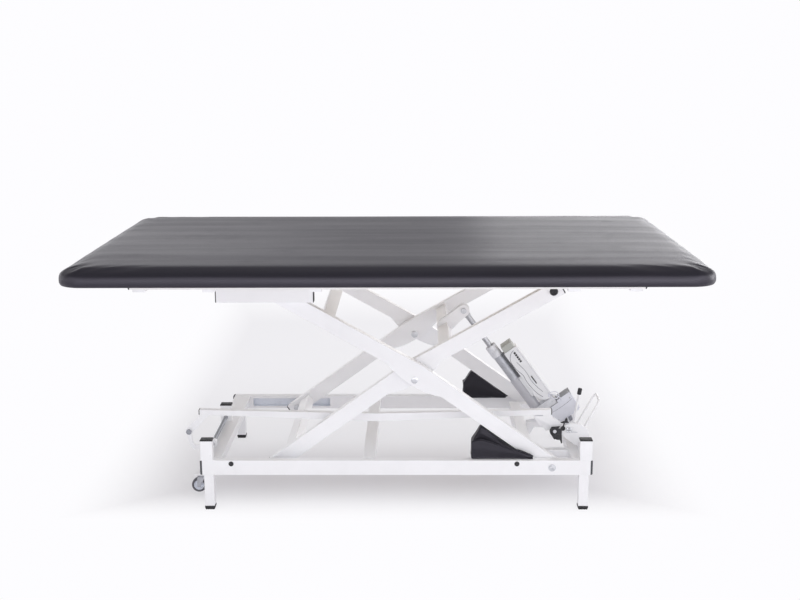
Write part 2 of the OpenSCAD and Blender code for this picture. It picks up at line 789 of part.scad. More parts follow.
// Long bar in a shallow V with a drop plate near each end
module link_bar() {
  mid = (link_x0 + link_x1) / 2;
  h = link_s / 2;
  color("white") {
    plate_y(link_y - h + 5, link_y + h) link_outline(mid, h);
    plate_y(link_y - h, link_y - h + 5) difference() {
      union() {
        link_outline(mid, h);
        drop_plate([link_x0 + 26, link_z - 6], [shaft_xl + crank_x, pin_z], 22);
        drop_plate([link_x1 - 20, link_z - 6], [shaft_xr + crank_x, pin_z], 26);
      }
      translate([shaft_xl + crank_x, pin_z]) circle(r = 5 + run);
      translate([shaft_xr + crank_x, pin_z]) circle(r = 10);
    }
  }
}

module link_outline(mid, h) {
  polygon([[link_x0, link_z - h], [mid, link_z - link_dip - h], [link_x1, link_z - h],
    [link_x1, link_z + h], [mid, link_z - link_dip + h], [link_x0, link_z + h]]);
}

// A plate from p down to the pin at q, with a round end
module drop_plate(p, q, w) {
  d = q - p;
  n = [-d[1], d[0]] / norm(d) * w / 2;
  polygon([p + n * 0.8, p - n * 0.8, q - n, q + n]);
  translate(q) circle(r = w / 2 + 1);
}

module link_bar_caps() {
  color("black") for (e = [[link_x0, -1], [link_x1, 1]])
    translate([e[0] + e[1] * 1.5, link_y, link_z]) cube([3, link_s, link_s], center = true);
}

// Plastic bearing at the right end of the link; its bore is wider than the pin
module link_bearing_block() {
  color("#1c1c1f") difference() {
    union() {
      plate_y(link_y - 12, link_y - 1) translate([shaft_xr + crank_x, pin_z]) circle(r = 9.9);
      for (y = [[link_y - 15.2, link_y - 11.3], [link_y - 6, link_y + 8]]) plate_y(y[0], y[1])
        translate([shaft_xr + crank_x, pin_z])
          polygon([[-22, 14], [8, 16], [14, 4], [8, -26], [-12, -30], [-26, -8]]);
    }
    round_y(shaft_xr + crank_x, pin_z, 5.6, link_y - 20, link_y + 12);
  }
}

// Bent wire loop welded to the right shaft for the foot
module loop_pedal() {
  r = 3.5;
  y0 = -190;
  y1 = -90;
  l = 130;
  color("white") translate([shaft_xr, 0, shaft_z]) rotate([0, 32, 0]) {
    for (y = [y0, y1]) {
      translate([0, y, shaft_r + 1]) cylinder(r = r, h = l - 26 - shaft_r);
      translate([0, y, 0]) rotate([90, 0, 0]) translate([0, 0, -6]) difference() {
        cylinder(r = 11, h = 12);
        translate([0, 0, -1]) cylinder(r = shaft_r + run, h = 14);
      }
    }
    translate([0, y0 + 18, l]) rotate([-90, 0, 0]) cylinder(r = r, h = y1 - y0 - 36);
    for (e = [[y0, y0 + 18], [y1, y1 - 18]]) hull() {
      translate([0, e[0], l - 26]) sphere(r = r, $fn = 16);
      translate([0, e[1], l]) sphere(r = r, $fn = 16);
    }
  }
}

// Straight lever with a rubber tip, free on the right shaft
module rod_lever() {
  translate([shaft_xr, -50, shaft_z]) rotate([0, 14, 0]) {
    color("white") {
      difference() {
        rotate([90, 0, 0]) translate([0, 0, -8]) cylinder(r = 12, h = 16);
        rotate([90, 0, 0]) translate([0, 0, -9]) cylinder(r = shaft_r + run, h = 18);
      }
      translate([0, 0, 10]) cylinder(r = 3.5, h = 88);
    }
    color("#2c2c30") translate([0, 0, 96]) cylinder(r = 7.5, h = 22);
  }
}

rail(-1);  // near_rail
rail(1);  // far_rail
end_members();
middle_members();
actuator_stringers();
legs();
feet();
rail_end_caps();
end_posts();
post_caps();
rail_plugs();
lower_pivot_bolts();
lower_track_liners();
actuator_bracket();
castor_brackets();
guard(-1);  // near_guard
guard(1);  // far_guard
bearing_screws();
castor_fork(-1);  // castor_fork_near
castor_fork(1);  // castor_fork_far
castor_wheel(-1);  // castor_wheel_near
castor_wheel(1);  // castor_wheel_far
outer_arm(-1);  // outer_arm_near
outer_arm(1);  // outer_arm_far
outer_cross_tubes();
outer_arm_caps();
centre_bolts();
upper_roller_axles();
inner_arm(-1);  // inner_arm_near
inner_arm(1);  // inner_arm_far
inner_cross_tubes();
inner_arm_caps();
actuator_lugs();
lug_bolts();
lower_roller_axles();
roller_pair(low_z);  // lower_rollers
roller_pair(up_z);  // upper_rollers
top_side_rails();
top_cross_tubes();
top_frame_caps();
upper_tracks();
upper_track_liners();
upper_pivot_lugs();
upper_pivot_bolts();
pad_board();
pad();
actuator_tube();
gear_housing();
motor_housing();
control_box();
control_box_end();
actuator_rod();
left_rocker();
right_rocker();
link_bar();
link_bar_caps();
link_bearing_block();
crank_adjuster();
loop_pedal();
rod_lever();
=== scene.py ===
"""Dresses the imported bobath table: pad, powder coated frame, scissor lift, actuator and foot control."""

import json
import math

import bmesh
import bpy
import numpy as np
from mathutils import Matrix, Vector

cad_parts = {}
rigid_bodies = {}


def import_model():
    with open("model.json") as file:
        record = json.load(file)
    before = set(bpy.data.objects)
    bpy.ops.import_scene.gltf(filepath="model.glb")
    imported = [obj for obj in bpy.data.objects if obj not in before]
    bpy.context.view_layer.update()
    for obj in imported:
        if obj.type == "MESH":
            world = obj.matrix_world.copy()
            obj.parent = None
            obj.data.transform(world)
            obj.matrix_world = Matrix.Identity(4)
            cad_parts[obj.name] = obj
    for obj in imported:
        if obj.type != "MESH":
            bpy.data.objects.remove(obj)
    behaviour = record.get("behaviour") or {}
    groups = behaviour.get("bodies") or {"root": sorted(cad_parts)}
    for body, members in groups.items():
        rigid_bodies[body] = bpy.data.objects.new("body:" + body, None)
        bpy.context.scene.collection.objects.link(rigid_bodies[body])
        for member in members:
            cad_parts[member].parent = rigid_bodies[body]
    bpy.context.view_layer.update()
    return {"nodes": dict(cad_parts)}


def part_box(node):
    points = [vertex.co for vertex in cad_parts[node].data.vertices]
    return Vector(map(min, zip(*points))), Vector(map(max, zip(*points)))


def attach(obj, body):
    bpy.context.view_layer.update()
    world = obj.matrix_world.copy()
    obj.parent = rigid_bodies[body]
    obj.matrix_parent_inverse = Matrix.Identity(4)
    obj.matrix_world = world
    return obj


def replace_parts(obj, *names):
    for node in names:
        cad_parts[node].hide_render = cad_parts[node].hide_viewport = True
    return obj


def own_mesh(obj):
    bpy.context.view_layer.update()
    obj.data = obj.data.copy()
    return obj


bl_info = {
    "name": "Bobath Table Dressing",
    "version": (1, 0, 0),
    "blender": (4, 5, 0),
    "location": "View3D > Sidebar > Bobath Table",
    "description": "Builds the visible pieces of a wide treatment table on a scissor lift around its CAD frame",
    "category": "Object",
}

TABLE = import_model()
NODES = TABLE["nodes"]
PAD_LOW, PAD_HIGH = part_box("pad")
BOARD_LOW, BOARD_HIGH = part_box("pad_board")
PAD_CROWN = 0.0079

# Places taken over from the part's source, in metres
RAIL_TOP, RAIL_OUT, RAIL_IN = 0.1695, 0.384, 0.354
LOWER_PIVOT = Vector((0.534, 0, 0.1445))
UPPER_PIVOT = Vector((0.534, 0, 0.7195))
CENTRE = Vector((0.08520, 0, 0.432))
ARM_ANGLE, BEND = math.radians(32.6425), math.radians(3.2216)
HALF_ARM, ARM_RISE, HALF_TUBE = 0.533, 0.030, 0.025
ROLLER_X = -0.36360
LUG = Vector((0.25674, 0, 0.58876))
ACTUATOR_FOOT = Vector((0.560, 0, 0.176))
ACTUATOR_TILT = math.radians(-36.306)
ROD_EYE = 0.5122
LEG_X, LEG_Y = (-0.5905, 0.6385), 0.369
SHAFT_X, SHAFT_Z = (-0.596, 0.644), 0.186
CROSS_TUBE_X = (-0.780, -0.560, -0.225, 0.586, 0.780)
GUARD_OUT = 0.3513

# The camera of the photograph: place in metres, turns in radians, lens in pixels of an 800 wide picture
CAMERA_PLACE = (0.0893, -4.1113, 1.4963)
PITCH, YAW, ROLL = 0.2090, -0.0133, -0.0045
LENS_PIXELS = 1200.39
BACKDROP = (0.985, 0.98, 1.0, 1)


# Sizes and colours that a user would change


class PadSettings(bpy.types.PropertyGroup):
    colour: bpy.props.FloatVectorProperty(
        name="Vinyl", description="Colour of the upholstery vinyl", subtype="COLOR",
        size=3, min=0, max=1, default=(0.017, 0.0155, 0.022))
    corner: bpy.props.FloatProperty(
        name="Corner radius", description="Radius of the pad's corners in plan",
        default=0.084, min=0.065, max=0.15, unit="LENGTH")
    crown: bpy.props.FloatProperty(
        name="Crown", description="How far the foam stands up in the middle",
        default=0.0045, min=0, max=0.012, unit="LENGTH")
    wrinkles: bpy.props.FloatProperty(
        name="Wrinkles", description="Height of the long folds in the vinyl",
        default=0.0005, min=0, max=0.004, unit="LENGTH")


class CoatSettings(bpy.types.PropertyGroup):
    colour: bpy.props.FloatVectorProperty(
        name="Powder coat", description="Colour of the powder coated steel", subtype="COLOR",
        size=3, min=0, max=1, default=(0.945, 0.945, 0.962))
    rounding: bpy.props.FloatProperty(
        name="Tube rounding", description="Outer radius along the edges of the tubes",
        default=0.003, min=0.0005, max=0.006, unit="LENGTH")
    bead: bpy.props.FloatProperty(
        name="Weld bead", description="Radius of the painted weld beads",
        default=0.0022, min=0.001, max=0.004, unit="LENGTH")


class StageSettings(bpy.types.PropertyGroup):
    sky: bpy.props.FloatProperty(
        name="Ambient light", description="Strength of the even light from all round",
        default=0.83, min=0, max=2)
    softbox: bpy.props.FloatProperty(
        name="Softbox", description="Power of the overhead softbox", default=20.0, min=0, max=400, unit="POWER")
    clearing: bpy.props.FloatProperty(
        name="Shadow fade", description="How much of the white background lies over the floor under the table",
        default=0.1, min=0, max=1)
    floor: bpy.props.FloatVectorProperty(
        name="Floor", description="Colour of the studio floor", subtype="COLOR",
        size=3, min=0, max=1, default=(0.93, 0.92, 0.95))


# Shader nodes


class Wire:
    """A shader socket. Arithmetic on it adds Math nodes to its finish."""

    def __init__(self, finish, socket):
        self.finish, self.socket = finish, socket

    def maths(self, operation, *terms):
        return self.finish.add("ShaderNodeMath", {"operation": operation}, terms)

    def __add__(self, other):
        return self.maths("ADD", self, other)

    __radd__ = __add__

    def __sub__(self, other):
        return self.maths("SUBTRACT", self, other)

    def __rsub__(self, other):
        return self.maths("SUBTRACT", other, self)

    def __mul__(self, other):
        return self.maths("MULTIPLY", self, other)

    __rmul__ = __mul__

    def __truediv__(self, other):
        return self.maths("DIVIDE", self, other)

    def __pow__(self, other):
        return self.maths("POWER", self, other)

    def __neg__(self):
        return self.maths("MULTIPLY", self, -1.0)

    def __abs__(self):
        return self.maths("ABSOLUTE", self)

    def sine(self):
        return self.maths("SINE", self)

    def most(self, other):
        """The larger of two values."""
        return self.maths("MAXIMUM", self, other)

    def wave(self, period):
        """A triangle wave from 0 to 1."""
        return self.maths("PINGPONG", self, period / 2) / (period / 2)

    def between(self, low, high, to_low=0.0, to_high=1.0):
        """Maps low to to_low and high to to_high with eased ends."""
        return self.finish.add(
            "ShaderNodeMapRange", {"interpolation_type": "SMOOTHSTEP", "clamp": True},
            {"Value": self, "From Min": low, "From Max": high, "To Min": to_low, "To Max": to_high})


class Nodes:
    """A node tree under construction."""

    def add(self, kind, settings, values=(), output=0):
        """Adds a node, sets it, gives its sockets values or links, and returns one output."""
        node = self.tree.nodes.new(kind)
        for key, value in settings.items():
            setattr(node, key, value)
        pairs = values.items() if isinstance(values, dict) else enumerate(values)
        for key, value in pairs:
            if isinstance(value, Wire):
                self.tree.links.new(value.socket, node.inputs[key])
            else:
                node.inputs[key].default_value = value
        return Wire(self, node.outputs[output])

    def vector(self, x, y, z):
        return self.add("ShaderNodeCombineXYZ", {}, [x, y, z])

    def axes(self, place):
        return tuple(self.add("ShaderNodeSeparateXYZ", {}, [place], k) for k in range(3))


class Finish(Nodes):
    """One material under construction, with the place of the surface as object coordinates."""

    def __init__(self, name, colour, rough, metallic=0.0, **fixed):
        self.material = bpy.data.materials.new(name)
        self.material.use_nodes = True
        self.tree = self.material.node_tree
        self.shader = next(n for n in self.tree.nodes if n.type == "BSDF_PRINCIPLED")
        fixed.update(base_color=(*colour, 1), roughness=rough, metallic=metallic)
        for key, value in fixed.items():
            self.shader.inputs[key.replace("_", " ").title()].default_value = value
        self.material.diffuse_color = (*colour, 1)
        self.colour = colour
        self.bumps = None
        self.place = self.add("ShaderNodeTexCoord", {}, {}, "Object")

    def part(self, axis, place=None):
        """One coordinate of the place."""
        return self.add("ShaderNodeSeparateXYZ", {}, [place or self.place], axis)

    def turned(self, centre=(0, 0, 0), angles=(0, 0, 0), scale=(1, 1, 1)):
        """Coordinates about a centre, then turned and scaled."""
        moved = self.add("ShaderNodeVectorMath", {"operation": "SUBTRACT"}, [self.place, tuple(centre)])
        return self.add("ShaderNodeMapping", {}, {"Vector": moved, "Rotation": angles, "Scale": scale})

    def noise(self, scale, detail=2.0, rough=0.5, place=None):
        return self.add("ShaderNodeTexNoise", {}, {
            "Vector": place or self.place, "Scale": scale, "Detail": detail, "Roughness": rough}, "Fac")

    def cells(self, scale, feature="F1", place=None):
        return self.add("ShaderNodeTexVoronoi", {"feature": feature}, {
            "Vector": place or self.place, "Scale": scale}, "Distance")

    def blend(self, amount, low, high):
        """A colour from low to high."""
        rgba = [(*c, 1) if isinstance(c, tuple) else c for c in (low, high)]
        return self.add("ShaderNodeMix", {"data_type": "RGBA"}, {0: amount, 6: rgba[0], 7: rgba[1]}, 2)

    def tint(self, wire):
        self.tree.links.new(wire.socket, self.shader.inputs["Base Color"])
        return self

    def rough(self, wire):
        self.tree.links.new(wire.socket, self.shader.inputs["Roughness"])
        return self

    def bump(self, height, distance, strength=1.0):
        """Adds a height in metres times distance to the normal."""
        values = {"Height": height, "Distance": distance, "Strength": strength}
        if self.bumps:
            values["Normal"] = self.bumps
        self.bumps = self.add("ShaderNodeBump", {}, values, "Normal")
        self.tree.links.new(self.bumps.socket, self.shader.inputs["Normal"])
        return self


def shade(colour, factor):
    """A darker or lighter tone of a colour."""
    return tuple(min(1.0, c * factor) for c in colour)


def vinyl(name, colour, rough=0.37, grain=0.00012):
    """Satin upholstery vinyl: fine leather grain, long faint stretch lines and handling marks."""
    f = Finish(name, colour, rough, coat_weight=0.05, coat_roughness=0.3, sheen_weight=0.04, sheen_roughness=0.4,
               sheen_tint=(0.72, 0.68, 0.86, 1), specular_tint=(0.90, 0.86, 1.0, 1))
    warp = f.noise(240, 2)
    spot = f.add("ShaderNodeVectorMath", {"operation": "MULTIPLY_ADD"}, [
        f.place, (1, 1, 1), f.vector(warp * 0.0016, warp * -0.0012, warp * 0.0014)])
    pebble = f.cells(620, "SMOOTH_F1", spot)
    crease = f.cells(330, "DISTANCE_TO_EDGE", spot).between(0.0, 0.16)
    slow = f.noise(2.2, 2, 0.5)
    streak = f.noise(15, 3, 0.55, f.turned(scale=(0.07, 1, 1)))
    rubbed = f.noise(9, 4, 0.65).between(0.5, 0.8)
    f.tint(f.blend((slow * 0.5 + streak * 0.5).between(0.3, 0.7), shade(colour, 0.9), shade(colour, 1.12)))
    f.rough(streak.between(0.3, 0.7, rough - 0.035, rough + 0.035) + rubbed * 0.035 + (1 - crease) * 0.04)
    f.bump(streak, 0.0007, 0.4)
    f.bump(pebble * 0.6 + crease * 0.4, grain, 0.7)
    return f


def powder_coat(name, colour, rough=0.34):
    """Satin powder coat: orange peel, faint tone changes, and dust that settles low on the frame."""
    f = Finish(name, colour, rough, coat_weight=0.15, coat_roughness=0.2)
    peel = f.noise(520, 2, 0.45)
    broad = f.noise(5.5, 3, 0.6)
    fleck = f.cells(180, "F1").between(0.02, 0.07)
    height = f.part("Z")
    low = height.between(0.02, 0.20, 1.0, 0.0) * f.noise(23, 4, 0.7).between(0.42, 0.75)
    clean = f.blend(broad.between(0.3, 0.7), shade(colour, 0.975), shade(colour, 1.012))
    dusty = f.blend(low * 0.14, clean, (0.66, 0.65, 0.66))
    f.tint(f.blend((1 - fleck) * f.noise(9, 1).between(0.55, 0.75) * 0.22, dusty, shade(colour, 0.8)))
    f.rough(broad.between(0.3, 0.7, rough - 0.04, rough + 0.06) + low * 0.2)
    f.bump(peel, 0.00011, 0.7)
    f.bump(broad, 0.0004, 0.25)
    return f.material


def moulded(name, colour, rough, wear=1.35):
    """Injection moulded plastic: spark eroded grain, faint flow marks and paler rubbed spots."""
    f = Finish(name, colour, rough)
    grain = f.noise(1150, 2, 0.6)
    flow = f.noise(30, 2, 0.5, f.turned(scale=(0.35, 1, 1)))
    rubbed = f.noise(75, 4, 0.7).between(0.58, 0.78)
    f.tint(f.blend(rubbed * 0.6, f.blend(flow, shade(colour, 0.92), shade(colour, 1.06)), shade(colour, wear)))
    f.rough(flow.between(0.3, 0.7, rough - 0.05, rough + 0.05) + rubbed * 0.05)
    f.bump(grain, 0.00009, 0.7)
    return f.material


def metal(name, colour, rough, along, scratch=0.00005, stain=0.8, metallic=1.0):
    """Bare or plated metal with fine drawn lines along one axis and slightly dulled patches."""
    f = Finish(name, colour, rough, metallic)
    squeeze = {"X": (0.02, 1, 1), "Y": (1, 0.02, 1), "Z": (1, 1, 0.02)}[along]
    lines = f.noise(1500, 3, 0.65, f.turned(scale=squeeze))
    patch = f.noise(38, 4, 0.65)
    f.tint(f.blend(patch.between(0.35, 0.7), colour, shade(colour, stain)))
    f.rough(lines.between(0.3, 0.7, rough - 0.06, rough + 0.08) + patch * 0.08)
    f.bump(lines, scratch, 0.6)
    return f.material


def plywood(name):
    """Birch plywood: long grain on the face and thin dark plies round the edge."""
    f = Finish(name, (0.72, 0.65, 0.54), 0.6)
    grain = f.noise(46, 5, 0.65, f.turned(scale=(0.06, 1, 1)))
    fine = f.noise(420, 3, 0.6, f.turned(scale=(0.03, 1, 1)))
    face = f.blend((grain * 0.7 + fine * 0.3).between(0.35, 0.66), (0.80, 0.74, 0.64), (0.64, 0.56, 0.45))
    ply = (f.part("Z") - BOARD_LOW.z).wave(0.0030).between(0.25, 0.7)
    side = f.add("ShaderNodeNewGeometry", {}, {}, "Normal")
    edge = abs(f.part("Z", side)).between(0.4, 0.8, 1.0, 0.0)
    f.tint(f.blend(edge * ply * 0.75, face, (0.42, 0.32, 0.21)))
    f.bump(fine, 0.0003, 0.5)
    return f.material


def rubber(name, colour):
    """Tyre and grip rubber with a dull bloom."""
    f = Finish(name, colour, 0.7)
    bloom = f.noise(60, 4, 0.7).between(0.4, 0.75)
    f.tint(f.blend(bloom * 0.5, colour, shade(colour, 1.7)))
    f.rough(bloom * 0.12 + 0.65)
    f.bump(f.noise(900, 2, 0.6), 0.00015, 0.7)
    return f.material


def painted_lit_front(f):
    """Painted light: the guard's front cushion is coloured greyer than the panel behind it, standing for the
    light it catches, and the panel behind stays darker as painted shade.
    """
    # Mask of the outer front cushion, where the painted light goes
    front = abs(f.part("Y")).between(0.3600, 0.3635)
    # Painted light: a lighter, greyer tone with a random spread, put on the front cushion in place of the light
    # that falls on it
    lit_front_tone = f.blend(f.noise(26, 4, 0.6).between(0.35, 0.7), (0.0145, 0.014, 0.0185), (0.020, 0.0195, 0.0245))
    f.shader.inputs["Specular IOR Level"].default_value = 0.36
    f.tint(f.blend(front, tuple(f.colour), lit_front_tone))
    return f.material


PALETTE = {}


def finishes(scene):
    """Every material of the table, made once."""
    if PALETTE:
        return PALETTE
    coat, pad = scene.table_coat, scene.table_pad
    PALETTE.update(
        pad_vinyl=vinyl("pad_vinyl", tuple(pad.colour)).material,
        # The guard vinyl carries painted light on its front cushion and painted shade on the panel behind
        guard_vinyl=painted_lit_front(vinyl("guard_vinyl", (0.0048, 0.0045, 0.0065), 0.46, 0.0002)),
        coat=powder_coat("white_powder_coat", tuple(coat.colour)),
        black=moulded("black_plastic", (0.020, 0.020, 0.023), 0.48, wear=2.2),
        dark_grey=moulded("dark_grey_plastic", (0.070, 0.071, 0.080), 0.5, wear=1.8),
        zinc=metal("zinc_plate", (0.70, 0.71, 0.74), 0.34, "Y", metallic=0.75),
        blackened=metal("blackened_steel", (0.035, 0.035, 0.04), 0.38, "Y", metallic=0.6),
        track=metal("track_steel", (0.90, 0.93, 0.99), 0.4, "X", metallic=0.1, stain=0.95),
        shaft=metal("shaft_steel", (0.33, 0.34, 0.37), 0.4, "Y"),
        rod=metal("rod_steel", (0.50, 0.505, 0.53), 0.34, "Z", metallic=0.7),
        tube_grey=metal("anodised_tube", (0.50, 0.51, 0.55), 0.42, "Z", metallic=0.3),
        tube_dark=moulded("tube_sleeve", (0.50, 0.50, 0.535), 0.45, wear=1.06),
        # Near black clip rail; its dark colour also stands for the shade in the gap between tube and box, as
        # painted shade
        mount=moulded("mounting_rail", (0.12, 0.122, 0.135), 0.5),
        collar=metal("tube_collar", (0.72, 0.725, 0.76), 0.42, "Z", metallic=0.2),
        castor=metal("castor_steel", (0.55, 0.56, 0.60), 0.38, "Z", metallic=0.6),
        box_line=moulded("case_groove", (0.27, 0.275, 0.31), 0.55),
        cast=metal("painted_casting", (0.80, 0.805, 0.84), 0.46, "Z", 0.0002, metallic=0.1),
        motor=moulded("motor_case", (0.80, 0.81, 0.875), 0.42, wear=1.04),
        lid=moulded("motor_lid", (0.33, 0.335, 0.36), 0.5, wear=1.15),
        box=moulded("control_case", (0.85, 0.855, 0.875), 0.4, wear=1.03),
        box_end=moulded("control_end", (0.46, 0.47, 0.44), 0.5, wear=1.08),
        nylon=moulded("roller_nylon", (0.10, 0.10, 0.11), 0.4),
        plywood=plywood("birch_plywood"),
        tread=rubber("castor_tread", (0.105, 0.105, 0.12)),
        hub=moulded("castor_hub", (0.74, 0.77, 0.84), 0.45, wear=1.05),
        tip=rubber("rubber_tip", (0.03, 0.03, 0.034)),
    )
    return PALETTE


# Mesh helpers


def piece(name, bm, body, slot, material, smooth=38.0, stands_for=(), weigh=True):
    """Makes a finished object at the origin from bm, riding on a body."""
    made = linked(name, mesh_of(name, bm))
    for m in material if isinstance(material, (list, tuple)) else [material]:
        made.data.materials.append(m)
    all_smooth(made)
    made.data.set_sharp_from_angle(angle=math.radians(smooth))
    if weigh:
        fair = made.modifiers.new("fair", "WEIGHTED_NORMAL")
        fair.keep_sharp = True
        settle(made)
    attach(made, body)
    if stands_for:
        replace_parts(made, *([stands_for] if isinstance(stands_for, str) else stands_for))
    return made


def settle(made):
    """Turns the modifiers of an object into plain mesh."""
    bpy.context.view_layer.update()
    graph = bpy.context.evaluated_depsgraph_get()
    plain = bpy.data.meshes.new_from_object(
        made.evaluated_get(graph), preserve_all_data_layers=True, depsgraph=graph)
    made.modifiers.clear()
    made.data = plain
    plain.name = made.name


def all_smooth(made):
    """Shades every face smooth."""
    made.data.polygons.foreach_set("use_smooth", [True] * len(made.data.polygons))


def linked(name, mesh):
    """A new object in the scene."""
    made = bpy.data.objects.new(name, mesh)
    bpy.context.scene.collection.objects.link(made)
    return made


def mesh_of(name, bm):
    """A mesh from bm, which is used up."""
    mesh = bpy.data.meshes.new(name)
    bm.to_mesh(mesh)
    bm.free()
    return mesh


def places(mesh, what="co"):
    """The places or normals of all the corners of a mesh as rows."""
    return np.array([getattr(v, what) for v in mesh.vertices])


def move_to(mesh, rows):
    """Puts the corners of a mesh at new places."""
    mesh.vertices.foreach_set("co", rows.ravel())
    mesh.update()


def finer(made):
    """Divides every face once and makes the result smooth."""
    divide = made.modifiers.new("finer", "SUBSURF")
    divide.levels = divide.render_levels = 1
    settle(made)
    all_smooth(made)


def node_mesh(node, trim=None):
    """A merged copy of a CAD node's mesh with its flat faces joined up. trim may move a corner a little."""
    bm = bmesh.new()
    bm.from_mesh(NODES[node].data)
    bmesh.ops.remove_doubles(bm, verts=bm.verts, dist=2e-5)
    bmesh.ops.dissolve_limit(
        bm, angle_limit=math.radians(0.6), verts=bm.verts, edges=bm.edges, use_dissolve_boundaries=False)
    if trim:
        for v in bm.verts:
            v.co += Vector(trim(v.co))
    return bm


def round_edges(bm, width, shortest, angle=40.0, steps=3, where=None):
    """Rounds the outward edges that are long enough."""
    picked = [e for e in bm.edges if len(e.link_faces) == 2 and e.is_convex and e.calc_length() > shortest
              and e.calc_face_angle(0) > math.radians(angle) and (where is None or where(e))]
    if picked:
        bmesh.ops.bevel(bm, geom=picked, offset=width, offset_type="OFFSET", segments=steps, profile=0.5,
                        affect="EDGES", clamp_overlap=True)


def softened(node, body, slot, material, width, shortest, steps=3, pick=None, trim=None):
    """A CAD node with its long edges rounded as drawn tube or pressed plate has them. pick gives a
    face's material number from its middle."""
    bm = node_mesh(node, trim)
    round_edges(bm, width, shortest, steps=steps)
    if pick:
        for f in bm.faces:
            f.material_index = pick(f.calc_center_median())
    return piece(node + "_finished", bm, body, slot, material, stands_for=node)


def mm(*points):
    """Places or pairs that are given in millimetres."""
    return [tuple(v / 1000 for v in p) for p in points]


def skin(bm, rings):
    """Faces between rings that follow each other, each with as many corners as the next."""
    count = len(rings[0])
    for a, b in zip(rings, rings[1:]):
        for i in range(count):
            j = (i + 1) % count
            bm.faces.new((a[i], a[j], b[j], b[i]))


def ends(bm, rings):
    """Closes the first and the last ring."""
    bm.faces.new(list(reversed(rings[0])))
    bm.faces.new(rings[-1])


def circle(bm, mid, side, other, radius, steps):
    """A ring of corners; radius may be a function of the angle."""
    ring = []
    for i in range(steps):
        a = 2 * math.pi * i / steps
        r = radius(a) if callable(radius) else radius
        ring.append(bm.verts.new(mid + (side * math.cos(a) + other * math.sin(a)) * r))
    return ring


def lathe(bm, profile, origin, axis, steps=40):
    """Turns (radius, height) pairs about axis through origin. A radius of 0 closes the end."""
    axis = Vector(axis).normalized()
    side = axis.orthogonal().normalized()
    other = axis.cross(side)
    rings = []
    for radius, height in profile:
        mid = Vector(origin) + axis * height
        rings.append(circle(bm, mid, side, other, radius, steps) if radius > 1e-7 else [bm.verts.new(mid)])
    for low, high in zip(rings, rings[1:]):
        for i in range(steps):
            j = (i + 1) % steps
            if len(low) == 1 and len(high) == 1:
                continue
            if len(low) == 1:
                bm.faces.new((low[0], high[j], high[i]))
            elif len(high) == 1:
                bm.faces.new((low[i], low[j], high[0]))
            else:
                bm.faces.new((low[i], low[j], high[j], high[i]))


def slab(bm, points, across):
    """A plate from a flat outline of places and its thickness as a vector."""
    rings = [[bm.verts.new(Vector(p) + Vector(across) * k) for p in points] for k in (0, 1)]
    made = [bm.faces.new(rings[0]), bm.faces.new(list(reversed(rings[1])))]
    for i in range(len(points)):
        j = (i + 1) % len(points)
        made.append(bm.faces.new((rings[0][j], rings[0][i], rings[1][i], rings[1][j])))
    bmesh.ops.recalc_face_normals(bm, faces=made)


def block(bm, low, high, turn=None):
    """A box between two corners, turned by a matrix if one is given."""
    spans = list(zip(low, high))
    corners = [Vector((x, y, z)) for x in spans[0] for y in spans[1] for z in spans[2]]
    vs = [bm.verts.new(turn @ c if turn else c) for c in corners]
    for quad in ((0, 1, 3, 2), (4, 6, 7, 5), (0, 4, 5, 1), (2, 3, 7, 6), (0, 2, 6, 4), (1, 5, 7, 3)):
        bm.faces.new([vs[i] for i in quad])


def tube_along(bm, points, radius, sides):
    """A round tube along points, with a frame carried along so that it never twists."""
    points = [Vector(p) for p in points]
    rings, side = [], None
    for before, p, after in zip(points[:1] + points, points, points[1:] + points[-1:]):
        run = (after - before).normalized()
        side = side or run.orthogonal().normalized()
        side = (side - run * side.dot(run)).normalized()
        rings.append(circle(bm, p, side, run.cross(side), radius, sides))
    skin(bm, rings)
    ends(bm, rings)


def face_outwards(bm):
    """Merges corners that meet and turns the faces outwards."""
    bmesh.ops.remove_doubles(bm, verts=bm.verts, dist=1e-6)
    bmesh.ops.recalc_face_normals(bm, faces=bm.faces)


def smooth_path(points, steps):
    """A rounded path through points."""
    pts = [np.array(p, float) for p in points]
    pts = [2 * pts[0] - pts[1], *pts, 2 * pts[-1] - pts[-2]]
    out = []
    for a, b, c, d in zip(pts, pts[1:], pts[2:], pts[3:]):
        for k in range(steps):
            t = k / steps
            out.append(0.5 * (2 * b + (c - a) * t + (2 * a - 5 * b + 4 * c - d) * t * t
                              + (3 * b - a - 3 * c + d) * t ** 3))
    out.append(pts[-2])
    return [tuple(p) for p in out]


